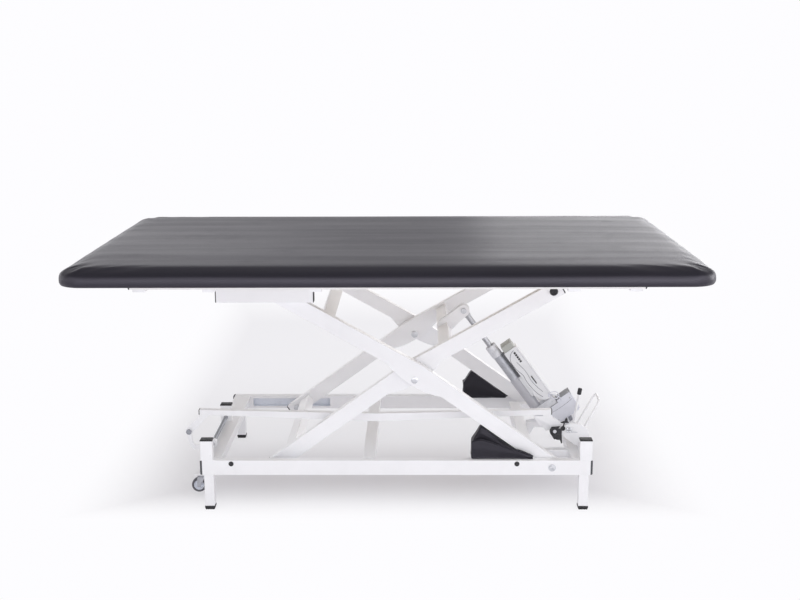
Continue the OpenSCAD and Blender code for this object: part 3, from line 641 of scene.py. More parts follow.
class Graph(Nodes):
    """A geometry node tree under construction, with named inputs for its sizes."""

    def __init__(self, name, **sizes):
        self.tree = bpy.data.node_groups.new(name, "GeometryNodeTree")
        face = self.tree.interface
        face.new_socket("Geometry", in_out="INPUT", socket_type="NodeSocketGeometry")
        self.ids = {}
        for label, value in sizes.items():
            kind = {int: "NodeSocketInt", float: "NodeSocketFloat"}.get(type(value), "NodeSocketMaterial")
            made = face.new_socket(label.replace("_", " ").title(), in_out="INPUT", socket_type=kind)
            if kind != "NodeSocketMaterial":
                made.default_value = value
            self.ids[label] = (made.identifier, value)
        face.new_socket("Geometry", in_out="OUTPUT", socket_type="NodeSocketGeometry")
        self.entry = self.tree.nodes.new("NodeGroupInput")
        self.leave = self.tree.nodes.new("NodeGroupOutput")
        self.base = Wire(self, self.entry.outputs[0])

    def size(self, label):
        return Wire(self, self.entry.outputs[label.replace("_", " ").title()])

    def attribute(self, name, kind="FLOAT"):
        return self.add("GeometryNodeInputNamedAttribute", {"data_type": kind}, {"Name": name})

    def run(self, name, mesh, result, body, slot, material, smooth):
        """Ends the tree in real mesh with a material, runs it on mesh and gives the finished piece."""
        real = self.add("GeometryNodeRealizeInstances", {}, [result])
        dressed = self.add("GeometryNodeSetMaterial", {}, {"Geometry": real, "Material": self.size("material")})
        self.tree.links.new(dressed.socket, self.leave.inputs[0])
        made = linked(name, mesh)
        maker = made.modifiers.new("maker", "NODES")
        maker.node_group = self.tree
        for label, (identifier, value) in self.ids.items():
            maker[identifier] = material if label == "material" else value
        settle(made)
        all_smooth(made)
        made.data.set_sharp_from_angle(angle=math.radians(smooth))
        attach(made, body)
        return made


def line_mesh(name, lines):
    """A mesh of edges only, from a list of (points, closed)."""
    verts, edges = [], []
    for points, closed in lines:
        first = len(verts)
        verts += [tuple(p) for p in points]
        edges += [(first + i, first + i + 1) for i in range(len(points) - 1)]
        if closed:
            edges.append((len(verts) - 1, first))
    mesh = bpy.data.meshes.new(name)
    mesh.from_pydata(verts, edges, [])
    return mesh


# Pad


def outline(half_x, half_y, corner, per_corner, spacing):
    """Points round a rectangle with round corners, as (middle of curvature, outward direction)."""
    cx, cy = half_x - corner, half_y - corner
    nx, ny = max(2, round(2 * cx / spacing)), max(2, round(2 * cy / spacing))
    arc = [math.pi / 2 * i / per_corner for i in range(per_corner + 1)]
    spots = []
    for start, mid, count, step in ((0, (cx, cy), nx, (-1, 0)), (1, (-cx, cy), ny, (0, -1)),
                                    (2, (-cx, -cy), nx, (1, 0)), (3, (cx, -cy), ny, (0, 1))):
        length = 2 * (cx if step[0] else cy)
        for a in arc:
            turn = a + start * math.pi / 2
            spots.append((Vector((*mid, 0)), Vector((math.cos(turn), math.sin(turn), 0))))
        turn = (start + 1) * math.pi / 2
        out = Vector((math.cos(turn), math.sin(turn), 0))
        for k in range(1, count):
            run = length * k / count
            spots.append((Vector((mid[0] + step[0] * run, mid[1] + step[1] * run, 0)), out))
    return spots


def pad_form(corner, crown):
    """The foam and its cover as one closed mesh of quads: a grid on top that bends into the rounded
    corners, rings down the side, and the lip that turns in under the edge."""
    hx, hy = (PAD_HIGH.x - PAD_LOW.x) / 2, (PAD_HIGH.y - PAD_LOW.y) / 2
    base, rise, flat_from, pitch = PAD_LOW.z, 0.0597, 0.050, 0.0165
    well_in, well_up = 0.0435, 0.0126
    band = [i / 7 for i in range(1, 8)]
    cx, cy = hx - corner, hy - corner

    def lines(c):
        count = round(2 * c / pitch)
        mid = [2 * c * i / count - c for i in range(count + 1)]
        return [(-c, -b) for b in reversed(band)] + [(m, 0.0) for m in mid] + [(c, b) for b in band]

    xs, ys = lines(cx), lines(cy)
    bm = bmesh.new()
    grid = []
    for qy, v in ys:
        row = []
        for qx, u in xs:
            du, dv = u * math.sqrt(1 - v * v / 2), v * math.sqrt(1 - u * u / 2)
            reach = corner - flat_from
            x, y = qx + du * reach, qy + dv * reach
            swells = [1 - math.exp(-max(0.0, e - flat_from) / 0.055) for e in (hx - abs(x), hy - abs(y))]
            vert = bm.verts.new((x, y, base + rise + crown * swells[0] * swells[1]))
            row.append((vert, Vector((qx, qy, 0)), Vector((du, dv, 0))))
        grid.append(row)
    for a, b in zip(grid, grid[1:]):
        for i in range(len(xs) - 1):
            bm.faces.new((a[i][0], a[i + 1][0], b[i + 1][0], b[i][0]))
    rim = grid[0][:-1] + [r[-1] for r in grid[:-1]] + grid[-1][:0:-1] + [r[0] for r in grid[:0:-1]]
    ring = [r[0] for r in rim]
    profile = mm((41, 58.1), (32, 56.2), (25, 54.3), (19, 52.1), (13.8, 49.5), (9.6, 46.4), (6.4, 43),
                 (4, 39.2), (2.3, 35), (1.2, 30.8), (0.5, 26.2), (0.1, 21), (0, 15.5), (0.8, 10.7), (3.2, 6.9),
                 (7.8, 4.4), (14.5, 3.5), (28, 3), (40.5, 2), (43.2, 4)) + [(well_in, well_up)]
    for inset, z in profile:
        nxt = []
        for _, q, d in rim:
            away = d.normalized() if d.length > 1e-6 else d
            nxt.append(bm.verts.new((*(q + away * (corner - inset)).xy, base + z)))
        for i in range(len(ring)):
            j = (i + 1) % len(ring)
            bm.faces.new((ring[j], ring[i], nxt[i], nxt[j]))
        ring = nxt
    # The well that the board fills is closed by a grid with the same lines as the top
    nx, ny = len(xs), len(ys)
    spots = ([(0, i) for i in range(nx - 1)] + [(j, nx - 1) for j in range(ny - 1)]
             + [(ny - 1, i) for i in range(nx - 1, 0, -1)] + [(j, 0) for j in range(ny - 1, 0, -1)])
    well = dict(zip(spots, ring))
    for j in range(1, ny - 1):
        for i in range(1, nx - 1):
            _, q, d = grid[j][i]
            p = q + d * (corner - well_in)
            well[j, i] = bm.verts.new((p.x, p.y, base + well_up))
    for j in range(ny - 1):
        for i in range(nx - 1):
            bm.faces.new((well[j, i], well[j + 1, i], well[j + 1, i + 1], well[j, i + 1]))
    return bm


def swell(made, pinned, pressure, cap, frames):
    """Lets the cover blow up a little over the foam, then holds every point within cap of its start."""
    scene = bpy.context.scene
    start = places(made.data)
    group = made.vertex_groups.new(name="held")
    group.add([int(i) for i in pinned], 1.0, "REPLACE")
    cloth = made.modifiers.new("cover", "CLOTH")
    c = cloth.settings
    c.quality, c.mass, c.air_damping = 5, 0.35, 2.0
    c.tension_stiffness = c.compression_stiffness = 22
    c.shear_stiffness, c.bending_stiffness = 8, 1.2
    c.tension_damping = c.compression_damping = 6
    c.use_pressure, c.uniform_pressure_force = True, pressure
    c.vertex_group_mass = "held"
    c.effector_weights.gravity = 0
    cloth.collision_settings.use_collision = False
    for frame in range(1, frames + 1):
        scene.frame_set(frame)
    seen = made.evaluated_get(bpy.context.evaluated_depsgraph_get())
    end = places(seen.data)
    made.modifiers.remove(cloth)
    made.vertex_groups.remove(group)
    scene.frame_set(1)
    move = end - start
    move[~np.isfinite(move)] = 0
    far = np.linalg.norm(move, axis=1, keepdims=True)
    move *= np.tanh(far / cap) * cap / np.maximum(far, 1e-9)
    move_to(made.data, start + move)


def ripple(points, stretch, seed, octaves=3):
    """Smooth noise from sums of sines in slowly changing directions, the same on every run."""
    rng = np.random.default_rng(seed)
    total = np.zeros(len(points))
    for k in range(14 * octaves):
        size = 2 ** (k % octaves)
        direction = rng.normal(size=3) * stretch * size
        total += np.sin(points @ direction + rng.uniform(0, 6.283)) / size
    return total / math.sqrt(14 * octaves / 2)


def fold_vinyl(made, corner, height):
    """Long faint folds across the top, soft dents along the sides, wavy ends and gathered corners."""
    pleat_high, dent_high, wander_by, crease_by = 0.0004, 0.0005, 0.0011, 0.0022
    mesh = made.data
    co, normal = places(mesh), places(mesh, "normal")
    hx, hy = PAD_HIGH.x, PAD_HIGH.y
    x, y, z = co[:, 0], co[:, 1], co[:, 2]
    top = np.clip((z - (PAD_LOW.z + 0.050)) / 0.007, 0, 1)
    base = ripple(co, np.array([1.3, 6.5, 1]), 11)
    cross = ripple(co, np.array([3.2, 2.6, 1]), 5, 2)
    lines = np.clip(1 - np.abs(base) * 1.2, 0, 1) ** 2 * np.clip(0.45 + cross * 0.5, 0, 1)
    lift = top * (lines * height + cross * height * 0.45)
    q = np.stack([np.clip(x, -hx + corner, hx - corner), np.clip(y, -hy + corner, hy - corner)], 1)
    away = co[:, :2] - q
    bent = np.minimum(np.abs(away[:, 0]), np.abs(away[:, 1])) / corner
    angle = np.arctan2(away[:, 1], away[:, 0])
    depth = np.clip((PAD_LOW.z + 0.046 - z) / 0.040, 0, 1)
    outer = np.clip(np.linalg.norm(away, axis=1) / corner - 0.5, 0, 0.5) * 2
    gather = np.clip(bent * 2.6, 0, 1) * (0.02 + 0.98 * depth) * outer
    pleat = np.sin(angle * 34 + 2.0 * np.sin(angle * 7)) * (0.6 + 0.4 * np.sin(angle * 13 + 1))
    lift += gather * pleat * pleat_high
    side = np.clip(depth * 3, 0, 1) * np.clip((z - PAD_LOW.z - 0.004) / 0.008, 0, 1)
    lift += side * ripple(co, np.array([5.0, 5.0, 16]), 3, 2) * dent_high
    under = z < PAD_LOW.z + 0.0042
    lift[under] = np.minimum(lift[under], 0)
    co += normal * lift[:, None]
    # The ends are cut by hand, so their outline wanders, and one soft crease crosses the right end
    near_end = np.clip((np.abs(x) - (hx - 0.05)) / 0.04, 0, 1) * np.clip((hy - np.abs(y)) / 0.1, 0, 1)
    wander = np.sin(y * 34 + np.sign(x)) * 0.5 + np.sin(y * 57 + 2 * np.sign(x)) * 0.35 - 0.4
    crease = np.exp(-((y + 0.052) / 0.011) ** 2) * np.clip(np.sign(x), 0, 1)
    co[:, 0] += np.sign(x) * near_end * (wander * wander_by - crease * crease_by)
    co[:, 2] = np.maximum(co[:, 2], PAD_LOW.z + 0.0002)
    move_to(mesh, co)


class TABLE_OT_pad(bpy.types.Operator):
    """The upholstered mattress: foam under tight black vinyl, gathered at the corners"""

    bl_idname = "table.pad"
    bl_label = "Pad"

    def execute(self, context):
        look = context.scene.table_pad
        made = linked("pad_cover", mesh_of("pad_cover", pad_form(look.corner, look.crown)))
        mesh = made.data
        mesh.materials.append(finishes(context.scene)["pad_vinyl"])
        inner = Vector((PAD_HIGH.x - 0.04, PAD_HIGH.y - 0.04))
        held = [v.index for v in mesh.vertices if v.co.z < PAD_LOW.z + 0.006 or (
            v.co.z < PAD_LOW.z + 0.014 and abs(v.co.x) < inner.x and abs(v.co.y) < inner.y)]
        swell(made, held, 1.5, 0.004, 18)
        # The cloth draws in a little, so the cover is brought back to the pad's length, width and height
        co = places(mesh)
        co[:, :2] *= np.array([PAD_HIGH.x, PAD_HIGH.y]) / np.abs(co[:, :2]).max(axis=0)
        high = PAD_HIGH.z + PAD_CROWN - PAD_LOW.z
        co[:, 2] = PAD_LOW.z + (co[:, 2] - PAD_LOW.z) * high / (co[:, 2].max() - PAD_LOW.z)
        move_to(mesh, co)
        fold_vinyl(made, look.corner, look.wrinkles)
        finer(made)
        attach(made, "top")
        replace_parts(made, "pad")
        return {"FINISHED"}


class TABLE_OT_underside(bpy.types.Operator):
    """Plywood under the pad, the vinyl turned over its edge, and the staples that hold it"""

    bl_idname = "table.underside"
    bl_label = "Board, hem and staples"

    def execute(self, context):
        look = finishes(context.scene)
        softened("pad_board", "top", "plywood", look["plywood"], 0.0012, 0.002, 2)
        bm = bmesh.new()
        half = (BOARD_HIGH - BOARD_LOW) / 2
        corner, rings = 0.06, []
        spots = outline(half.x, half.y, corner, 12, 0.02)
        for inset, drop in mm((-0.6, -2.4), (-0.9, 0.2), (0, 1.1), (4, 1.3), (12, 1.3), (22, 1.3), (32, 1.3),
                              (37.5, 1.2), (38.5, 0.6), (38.5, -0.1)):
            ring = []
            for q, d in spots:
                bent = min(abs(d.x), abs(d.y)) * 1.4
                turn = math.atan2(d.y, d.x)
                ruffle = bent * max(0.0, drop) * (0.9 * math.sin(turn * 40 + 3 * math.sin(turn * 3)))
                edge = 0.0012 * math.sin(q.x * 37 + q.y * 29) if inset > 0.03 else 0
                p = q + d * (corner - inset + edge)
                ring.append(bm.verts.new((p.x, p.y, BOARD_LOW.z - drop - ruffle)))
            rings.append(ring)
        skin(bm, rings)
        piece("pad_hem", bm, "top", "black_vinyl", look["pad_vinyl"], 60, weigh=False)
        spots, turns = [], []
        rng = np.random.default_rng(4)
        for q, d in outline(half.x, half.y, corner, 4, 0.034):
            p = q + d * (corner - 0.021 + rng.uniform(-0.002, 0.002))
            spots.append((p.x, p.y, BOARD_LOW.z - 0.00145))
            turns.append(math.atan2(d.y, d.x) + math.pi / 2 + rng.uniform(-0.16, 0.16))
        mesh = bpy.data.meshes.new("staple_places")
        mesh.from_pydata(spots, [], [])
        mesh.attributes.new("turn", "FLOAT", "POINT").data.foreach_set("value", turns)
        g = Graph("staples", crown=0.0115, wire=0.0006, material=look["zinc"])
        half_crown = g.size("crown") / 2
        line = g.add("GeometryNodeCurvePrimitiveLine", {}, {
            "Start": g.vector(-half_crown, 0.0, 0.0), "End": g.vector(half_crown, 0.0, 0.0)})
        line = g.add("GeometryNodeResampleCurve", {}, {"Curve": line, "Count": 7})
        x = g.axes(g.add("GeometryNodeInputPosition", {}))[0]
        lift = (abs(x) / half_crown) ** 6.0 * 0.0016
        line = g.add("GeometryNodeSetPosition", {}, {
            "Geometry": line, "Offset": g.vector(0.0, 0.0, lift)})
        profile = g.add("GeometryNodeCurvePrimitiveCircle", {}, {"Resolution": 6, "Radius": g.size("wire")})
        wire = g.add("GeometryNodeCurveToMesh", {}, {"Curve": line, "Fill Caps": True, "Profile Curve": profile})
        spin = g.add("FunctionNodeAxisAngleToRotation", {}, {"Axis": (0, 0, 1), "Angle": g.attribute("turn")})
        many = g.add("GeometryNodeInstanceOnPoints", {}, {"Points": g.base, "Instance": wire, "Rotation": spin})
        g.run("staples", mesh, many, "top", "zinc_steel", look["zinc"], 40)
        return {"FINISHED"}


# White frame

FRAME_PIECES = {
    "near_rail": "base", "far_rail": "base", "end_members": "base", "middle_members": "base",
    "actuator_stringers": "base", "legs": "base", "end_posts": "base", "castor_brackets": "base",
    "outer_arm_near": "outer_arms", "outer_arm_far": "outer_arms", "outer_cross_tubes": "outer_arms",
    "inner_arm_near": "inner_arms", "inner_arm_far": "inner_arms", "inner_cross_tubes": "inner_arms",
    "actuator_lugs": "inner_arms", "top_side_rails": "top", "top_cross_tubes": "top", "upper_tracks": "top",
    "upper_pivot_lugs": "top", "link_bar": "link",
}
PLATES = {"castor_brackets", "actuator_lugs", "upper_pivot_lugs"}


def narrower(p):
    """Draws the sides of the four legs in by 1.7 mm each."""
    off = p.x - min(LEG_X, key=lambda x: abs(p.x - x))
    return (-math.copysign(0.0017, off) if abs(off) > 0.006 else 0.0, 0.0, 0.0)


# Small moves of the ends and edges of drawn tubes, from the photo
TRIMS = {
    "top_side_rails": lambda p: (0, 0, 0.006 if p.z < 0.758 else 0),
    "top_frame_caps": lambda p: (0, 0, 0.006 if p.z < 0.758 and abs(p.x) > 0.78 else 0),
    "end_posts": lambda p: (0, 0, (-0.0065 if p.y < 0 else -0.0135) if p.z > 0.23 else 0),
    "post_caps": lambda p: (0, 0, -0.0065 if p.y < 0 else -0.0135),
    "link_bar": lambda p: (0, 0, 0.005 if 0.275 < p.z < 0.283 else 0),
    "link_bar_caps": lambda p: (0, 0, 0.005 if p.z < 0.283 else 0),
    "legs": narrower,
}


class TABLE_OT_frame(bpy.types.Operator):
    """Powder coated tubes and plates of the base, the scissor arms and the top frame"""

    bl_idname = "table.frame"
    bl_label = "White frame"

    def execute(self, context):
        look, coat = finishes(context.scene), context.scene.table_coat
        for node, body in FRAME_PIECES.items():
            sizes = (0.0012, 0.003, 2) if node in PLATES else (coat.rounding, 0.012, 3)
            softened(node, body, "white_powder_coat", look["coat"], *sizes, trim=TRIMS.get(node))
        # The ends of the cross tubes are closed where they show under the side rails
        bm = bmesh.new()
        for x in CROSS_TUBE_X:
            for y in (-0.4306, 0.4306):
                block(bm, (x - 0.0196, y - 0.0006, 0.7419), (x + 0.0196, y + 0.0006, 0.7590))
        piece("cross_tube_end_plates", bm, "top", "white_powder_coat", look["coat"])
        # The wide drop plate at the right end of the link, with its lower edge folded back
        bm = bmesh.new()
        upper = mm((482.3, 279), (530, 279), (554.6, 271.7), (574.2, 258.3), (585, 249.5), (573.1, 236.5))
        lower = mm((552, 244), (526.1, 255.8), (501.8, 268.4))
        slab(bm, [(x, -0.2518, z) for x, z in upper + lower], (0, 0.0046, 0))
        fold = [(x, -0.2516, z) for x, z in [upper[0], lower[2], lower[1], lower[0]]]
        fold += [(x, -0.2395, z) for x, z in mm((538.9, 227), (527.8, 222.5), (514.6, 238.5), (508.1, 238.5))]
        front = [bm.verts.new(v) for v in fold]
        back = [bm.verts.new(Vector(v) + Vector((0.0005, 0.0028, 0.0020))) for v in fold]
        for a, b, c in ((0, 1, 7), (1, 6, 7), (1, 2, 6), (2, 5, 6), (2, 4, 5), (2, 3, 4)):
            bm.faces.new((front[a], front[b], front[c]))
            bm.faces.new((back[c], back[b], back[a]))
        for a in range(8):
            b = (a + 1) % 8
            bm.faces.new((front[b], front[a], back[a], back[b]))
        bmesh.ops.recalc_face_normals(bm, faces=bm.faces)
        round_edges(bm, 0.0008, 0.006, 50, 2)
        piece("link_drop_plate", bm, "link", "white_powder_coat", look["coat"])
        return {"FINISHED"}


# Turned parts, fasteners and plastic caps


def hex_radius(angle, apothem):
    """Distance from the middle of a hexagon to its side at an angle."""
    return apothem / math.cos((angle + math.pi / 6) % (math.pi / 3) - math.pi / 6)


def hex_part(bm, origin, axis, apothem, height, recess, socket=False):
    """A hexagon head or nut with turned chamfers, or a round cap head with a hexagon socket."""
    axis = Vector(axis).normalized()
    side = axis.orthogonal().normalized()
    other = axis.cross(side)
    edge = apothem * 0.12
    if socket:
        rows = [(1.0, 0, 0), (1.0, height - edge, 0), (0.93, height - edge * 0.3, 0), (0.86, height, 0),
                (0.56, height, 2), (0.52, height - edge * 0.3, 2), (0.52, height - recess, 2),
                (0.3, height - recess, 0)]
    else:
        rows = [(1.03, 0, 1), (1.15, edge, 1), (1.15, height - edge, 1), (1.06, height - edge * 0.4, 1),
                (0.97, height, 0)]
        rows += [(0.6, height, 0), (0.57, height - recess * 0.3, 0), (0.57, height - recess, 0)]
    rings = []
    for scale, z, kind in rows:
        # A row is round (0), a hexagon with its corners turned off (1) or the socket (2)
        r = apothem * scale
        radius = (r, lambda a, r=r: min(hex_radius(a, apothem), r), lambda a, r=r: hex_radius(a, r * 0.88))[kind]
        rings.append(circle(bm, Vector(origin) + axis * z, side, other, radius, 48))
    skin(bm, rings)
    ends(bm, rings)


def rod(bm, origin, axis, radius, length, edge=0.0006, steps=32):
    """A round bar with a small chamfer at both ends."""
    lathe(bm, [(0, 0), (radius - edge, 0), (radius, edge), (radius, length - edge), (radius - edge, length),
               (0, length)], origin, axis, steps)


def washer(bm, origin, axis, outer, height):
    """A plain washer; its bore is hidden by the bolt."""
    rod(bm, origin, axis, outer, height, min(0.0005, height * 0.3), 40)


def threaded(bm, origin, axis, radius, length, pitch=0.0015):
    """A rod end with a fine rolled thread, as close rings."""
    turns = max(2, round(length / pitch))
    profile = [(0, 0), (radius * 0.9, 0)]
    for i in range(turns):
        profile += [(radius * 0.9, (i + 0.25) * length / turns), (radius, (i + 0.75) * length / turns)]
    profile += [(radius * 0.8, length), (0, length)]
    lathe(bm, profile, origin, axis, 20)


def capped(node, body, slot, material, width, steps=3):
    """A moulded cap, with its place moved like the tube that it closes."""
    return softened(node, body, slot, material, width, 0.004, steps, trim=TRIMS.get(node))


def stack(x, z, *items):
    """Turned parts in a row on the axis of a bolt, as (maker, distance out, way it points, sizes...)."""
    def parts(bm, s):
        for maker, out, way, *sizes in items:
            maker(bm, (x, s * out, z), (0, s * way, 0), *sizes)
    return parts


def stud_head(bm, origin, axis):
    """A low round head with a dished middle."""
    lathe(bm, mm((0, 0), (11.2, 0), (11.2, 0.6), (9.4, 1.8), (5.2, 2.4), (4.8, 1.4), (0, 1.3)), origin, axis)


def roller(bm, origin, axis):
    """A grooved nylon wheel with its bore."""
    lathe(bm, mm((6.4, 0), (13.6, 0), (14.9, 1.2), (15.2, 3), (15.2, 9.4), (14.6, 10.2), (14.6, 11.2),
                 (15.2, 12), (15.2, 18.5), (14.9, 20.3), (13.6, 21.5), (9.5, 21.5), (9.2, 20.5), (6.4, 20.5)),
          origin, axis, 48)


class TABLE_OT_fasteners(bpy.types.Operator):
    """Pivot bolts, nuts, washers, roller axles and the small screws"""

    bl_idname = "table.fasteners"
    bl_label = "Bolts, axles and screws"

    def execute(self, context):
        look = finishes(context.scene)

        def axle(z, head, past, *wide):
            """The axle of a roller, with its nut inside the arm."""
            return stack(ROLLER_X, z, *wide, (rod, past, 1, 0.006, 0.3785 - past),
                         (hex_part, head + 0.0078, -1, 0.0115, 0.0078, 0.002),
                         (threaded, head + 0.0002, -1, 0.0078, 0.004))

        lower = stack(LOWER_PIVOT.x, LOWER_PIVOT.z, (rod, 0.3205, 1, 0.008, 0.0645),
                      (washer, 0.3841, 1, 0.0122, 0.0019), (hex_part, 0.386, 1, 0.0083, 0.0066, 0.004, True))
        centre = stack(CENTRE.x, CENTRE.z, (rod, 0.276, 1, 0.008, 0.0755), (stud_head, 0.3511, 1),
                       (washer, 0.3173, 1, 0.013, 0.0036), (hex_part, 0.2868, -1, 0.0115, 0.008, 0.002),
                       (threaded, 0.2788, -1, 0.0078, 0.004))
        upper = stack(UPPER_PIVOT.x, UPPER_PIVOT.z, (rod, 0.28, 1, 0.008, 0.044),
                      (washer, 0.3231, 1, 0.0135, 0.0014), (hex_part, 0.3245, 1, 0.0112, 0.0055, 0.0035, True),
                      (hex_part, 0.2808, -1, 0.0115, 0.0078, 0.002), (threaded, 0.2732, -1, 0.0078, 0.004))
        upper_axle = axle(UPPER_PIVOT.z, 0.313, 0.3508, (rod, 0.313, 1, 0.008, 0.0382))
        lower_axle = axle(LOWER_PIVOT.z, 0.279, 0.3528, (rod, 0.279, 1, 0.008, 0.0382),
                          (rod, 0.317, 1, 0.009, RAIL_IN - 0.318))
        lug = stack(LUG.x, LUG.z, (rod, 0.0126, 1, 0.006, 0.0056), (washer, 0.0181, 1, 0.0103, 0.0012),
                    (hex_part, 0.0193, 1, 0.0086, 0.0042, 0.0012))
        zinc, black = ("zinc_steel", look["zinc"]), ("black_steel", look["blackened"])
        nylon = ("roller_plastic", look["nylon"])
        for name, node, body, finish, parts in (
                ("lower_pivot_bolts_finished", "lower_pivot_bolts", "base", zinc, lower),
                ("centre_bolts_finished", "centre_bolts", "outer_arms", zinc, centre),
                ("upper_pivot_bolts_finished", "upper_pivot_bolts", "top", black, upper),
                ("upper_axles", "upper_roller_axles", "outer_arms", zinc, upper_axle),
                ("lower_axles", "lower_roller_axles", "inner_arms", zinc, lower_axle),
                ("lug_bolts_finished", "lug_bolts", "inner_arms", zinc, lug),
                ("lower_rollers_finished", "lower_rollers", "lower_rollers", nylon,
                 stack(ROLLER_X, LOWER_PIVOT.z, (roller, 0.357, 1))),
                ("upper_rollers_finished", "upper_rollers", "upper_rollers", nylon,
                 stack(ROLLER_X, UPPER_PIVOT.z, (roller, 0.357, 1)))):
            bm = bmesh.new()
            for side in (-1, 1):
                parts(bm, side)
            piece(name, bm, body, *finish, 35, stands_for=node)

        spots = [((x + d, -RAIL_OUT, SHAFT_Z), (0, -1, 0)) for x in SHAFT_X for d in (-0.012, 0.012)]
        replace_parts(screws("bearing_screws_finished", spots, 0.0036, 0.0012, "base", look["coat"],
                           "white_powder_coat"), "bearing_screws")
        return {"FINISHED"}


def screws(name, spots, radius, height, body, material, slot="zinc_steel"):
    """Pan head screws on (place, direction) pairs: a domed head with a cross cut in it. The heads are
    put on points by a tree, and the turn of each cross is an attribute."""
    mesh = bpy.data.meshes.new(name + "_places")
    mesh.from_pydata([tuple(p) for p, _ in spots], [], [])
    mesh.attributes.new("facing", "FLOAT_VECTOR", "POINT").data.foreach_set(
        "vector", [c for _, d in spots for c in Vector(d).normalized()])
    rng = np.random.default_rng(len(spots) + 7)
    mesh.attributes.new("turn", "FLOAT", "POINT").data.foreach_set("value", rng.uniform(0, 1.57, len(spots)))
    g = Graph(name, radius=float(radius), height=float(height), material=material)
    r, h = g.size("radius"), g.size("height")
    disc = g.add("GeometryNodeMeshCylinder", {"fill_type": "NGON"}, {
        "Vertices": 24, "Side Segments": 3, "Fill Segments": 5, "Radius": r, "Depth": h * 2.0}, "Mesh")
    x, y, z = g.axes(g.add("GeometryNodeInputPosition", {}))
    out = g.add("ShaderNodeVectorMath", {"operation": "LENGTH"}, [g.vector(x / r, y / r, 0.0)], "Value")
    dome = h * (1.0 - out * out * 0.55)
    arm = x.maths("MINIMUM", abs(x), abs(y)) / r
    slot_depth = x.maths("LESS_THAN", arm, 0.14) * x.maths("LESS_THAN", out, 0.62) * h * 0.55
    top = x.maths("GREATER_THAN", z, 0.0)
    lifted = g.add("GeometryNodeSetPosition", {}, {
        "Geometry": disc, "Position": g.vector(x, y, top * (dome - slot_depth))})
    facing = g.attribute("facing", "FLOAT_VECTOR")
    aim = g.add("FunctionNodeAlignRotationToVector", {"axis": "Z"}, {"Vector": facing})
    spin = g.add("FunctionNodeAxisAngleToRotation", {}, {"Axis": (0, 0, 1), "Angle": g.attribute("turn")})
    both = g.add("FunctionNodeRotateRotation", {"rotation_space": "LOCAL"}, {"Rotation": aim, "Rotate By": spin})
    many = g.add("GeometryNodeInstanceOnPoints", {}, {"Points": g.base, "Instance": lifted, "Rotation": both})
    return g.run(name, mesh, many, body, slot, material, 30)


class TABLE_OT_plastics(bpy.types.Operator):
    """Black and grey end caps, feet, plugs and the link's bearing block"""

    bl_idname = "table.plastics"
    bl_label = "Plastic caps and feet"

    def execute(self, context):
        look = finishes(context.scene)
        for node, body, width in (("post_caps", "base", 0.0018), ("outer_arm_caps", "outer_arms", 0.0015),
                                  ("inner_arm_caps", "inner_arms", 0.0015), ("top_frame_caps", "top", 0.0015),
                                  ("link_bar_caps", "link", 0.001), ("link_bearing_block", "link", 0.0014)):
            capped(node, body, "black_plastic", look["black"], width)
        capped("rail_end_caps", "base", "dark_grey_plastic", look["dark_grey"], 0.0028, 4)
        bm = node_mesh("feet", narrower)
        round_edges(bm, 0.0016, 0.004)
        # Fine ribs moulded round the sole
        for leg in LEG_X:
            for y in (-LEG_Y, LEG_Y):
                for x in (leg + k * 0.0061 for k in range(-2, 3)):
                    block(bm, (x - 0.0012, y - 0.0163, 0.0002), (x + 0.0012, y + 0.0163, 0.0034))
        piece("feet_finished", bm, "base", "black_plastic", look["black"], stands_for="feet")
        bm = bmesh.new()
        for x in (-0.516, 0.419):
            for s in (-1, 1):
                lathe(bm, mm((0, 0), (5.7, 0), (5.7, 2.6), (8.1, 2.6), (8.3, 3.2), (7.9, 4), (6.6, 4.5),
                             (5.2, 4.6), (4.6, 4.1), (0, 3.9)),
                      (x, s * 0.3815, 0.158), (0, s, 0))
        piece("rail_plugs_finished", bm, "base", "black_plastic", look["black"], stands_for="rail_plugs")
        for node in ("lower_track_liners", "upper_track_liners"):
            softened(node, "base" if node[0] == "l" else "top", "track_steel", look["track"], 0.0006, 0.003, 2)
        return {"FINISHED"}


# Weld beads


def ring_at(z, x0, x1, y0, y1):
    """A closed bead round an upright tube."""
    return [(x0, y0, z), (x1, y0, z), (x1, y1, z), (x0, y1, z)], True


def arm_line(u, v, y, far):
    """A place u along and v above the straight line through an arm's ends, from the scissor's centre."""
    x = u * math.cos(ARM_ANGLE) - v * math.sin(ARM_ANGLE)
    z = u * math.sin(ARM_ANGLE) + v * math.cos(ARM_ANGLE)
    return CENTRE.x + (-x if far else x), y, CENTRE.z + z


def cross_tube_beads(u, y, outer):
    """The outline of a cross tube where it meets the two arms, u along them."""
    bent = -BEND if u > 0 else BEND
    middle = ARM_RISE * (1 - abs(u) / HALF_ARM)
    lines = []
    for s in (-1, 1):
        line = []
        for a, b in ((-0.0204, -0.0164), (0.0204, -0.0164), (0.0204, 0.0164), (-0.0204, 0.0164)):
            along, above = a * math.cos(bent) - b * math.sin(bent), a * math.sin(bent) + b * math.cos(bent)
            line.append(arm_line(u + along, middle + above, s * y, outer))
        lines.append((line, True))
    return lines


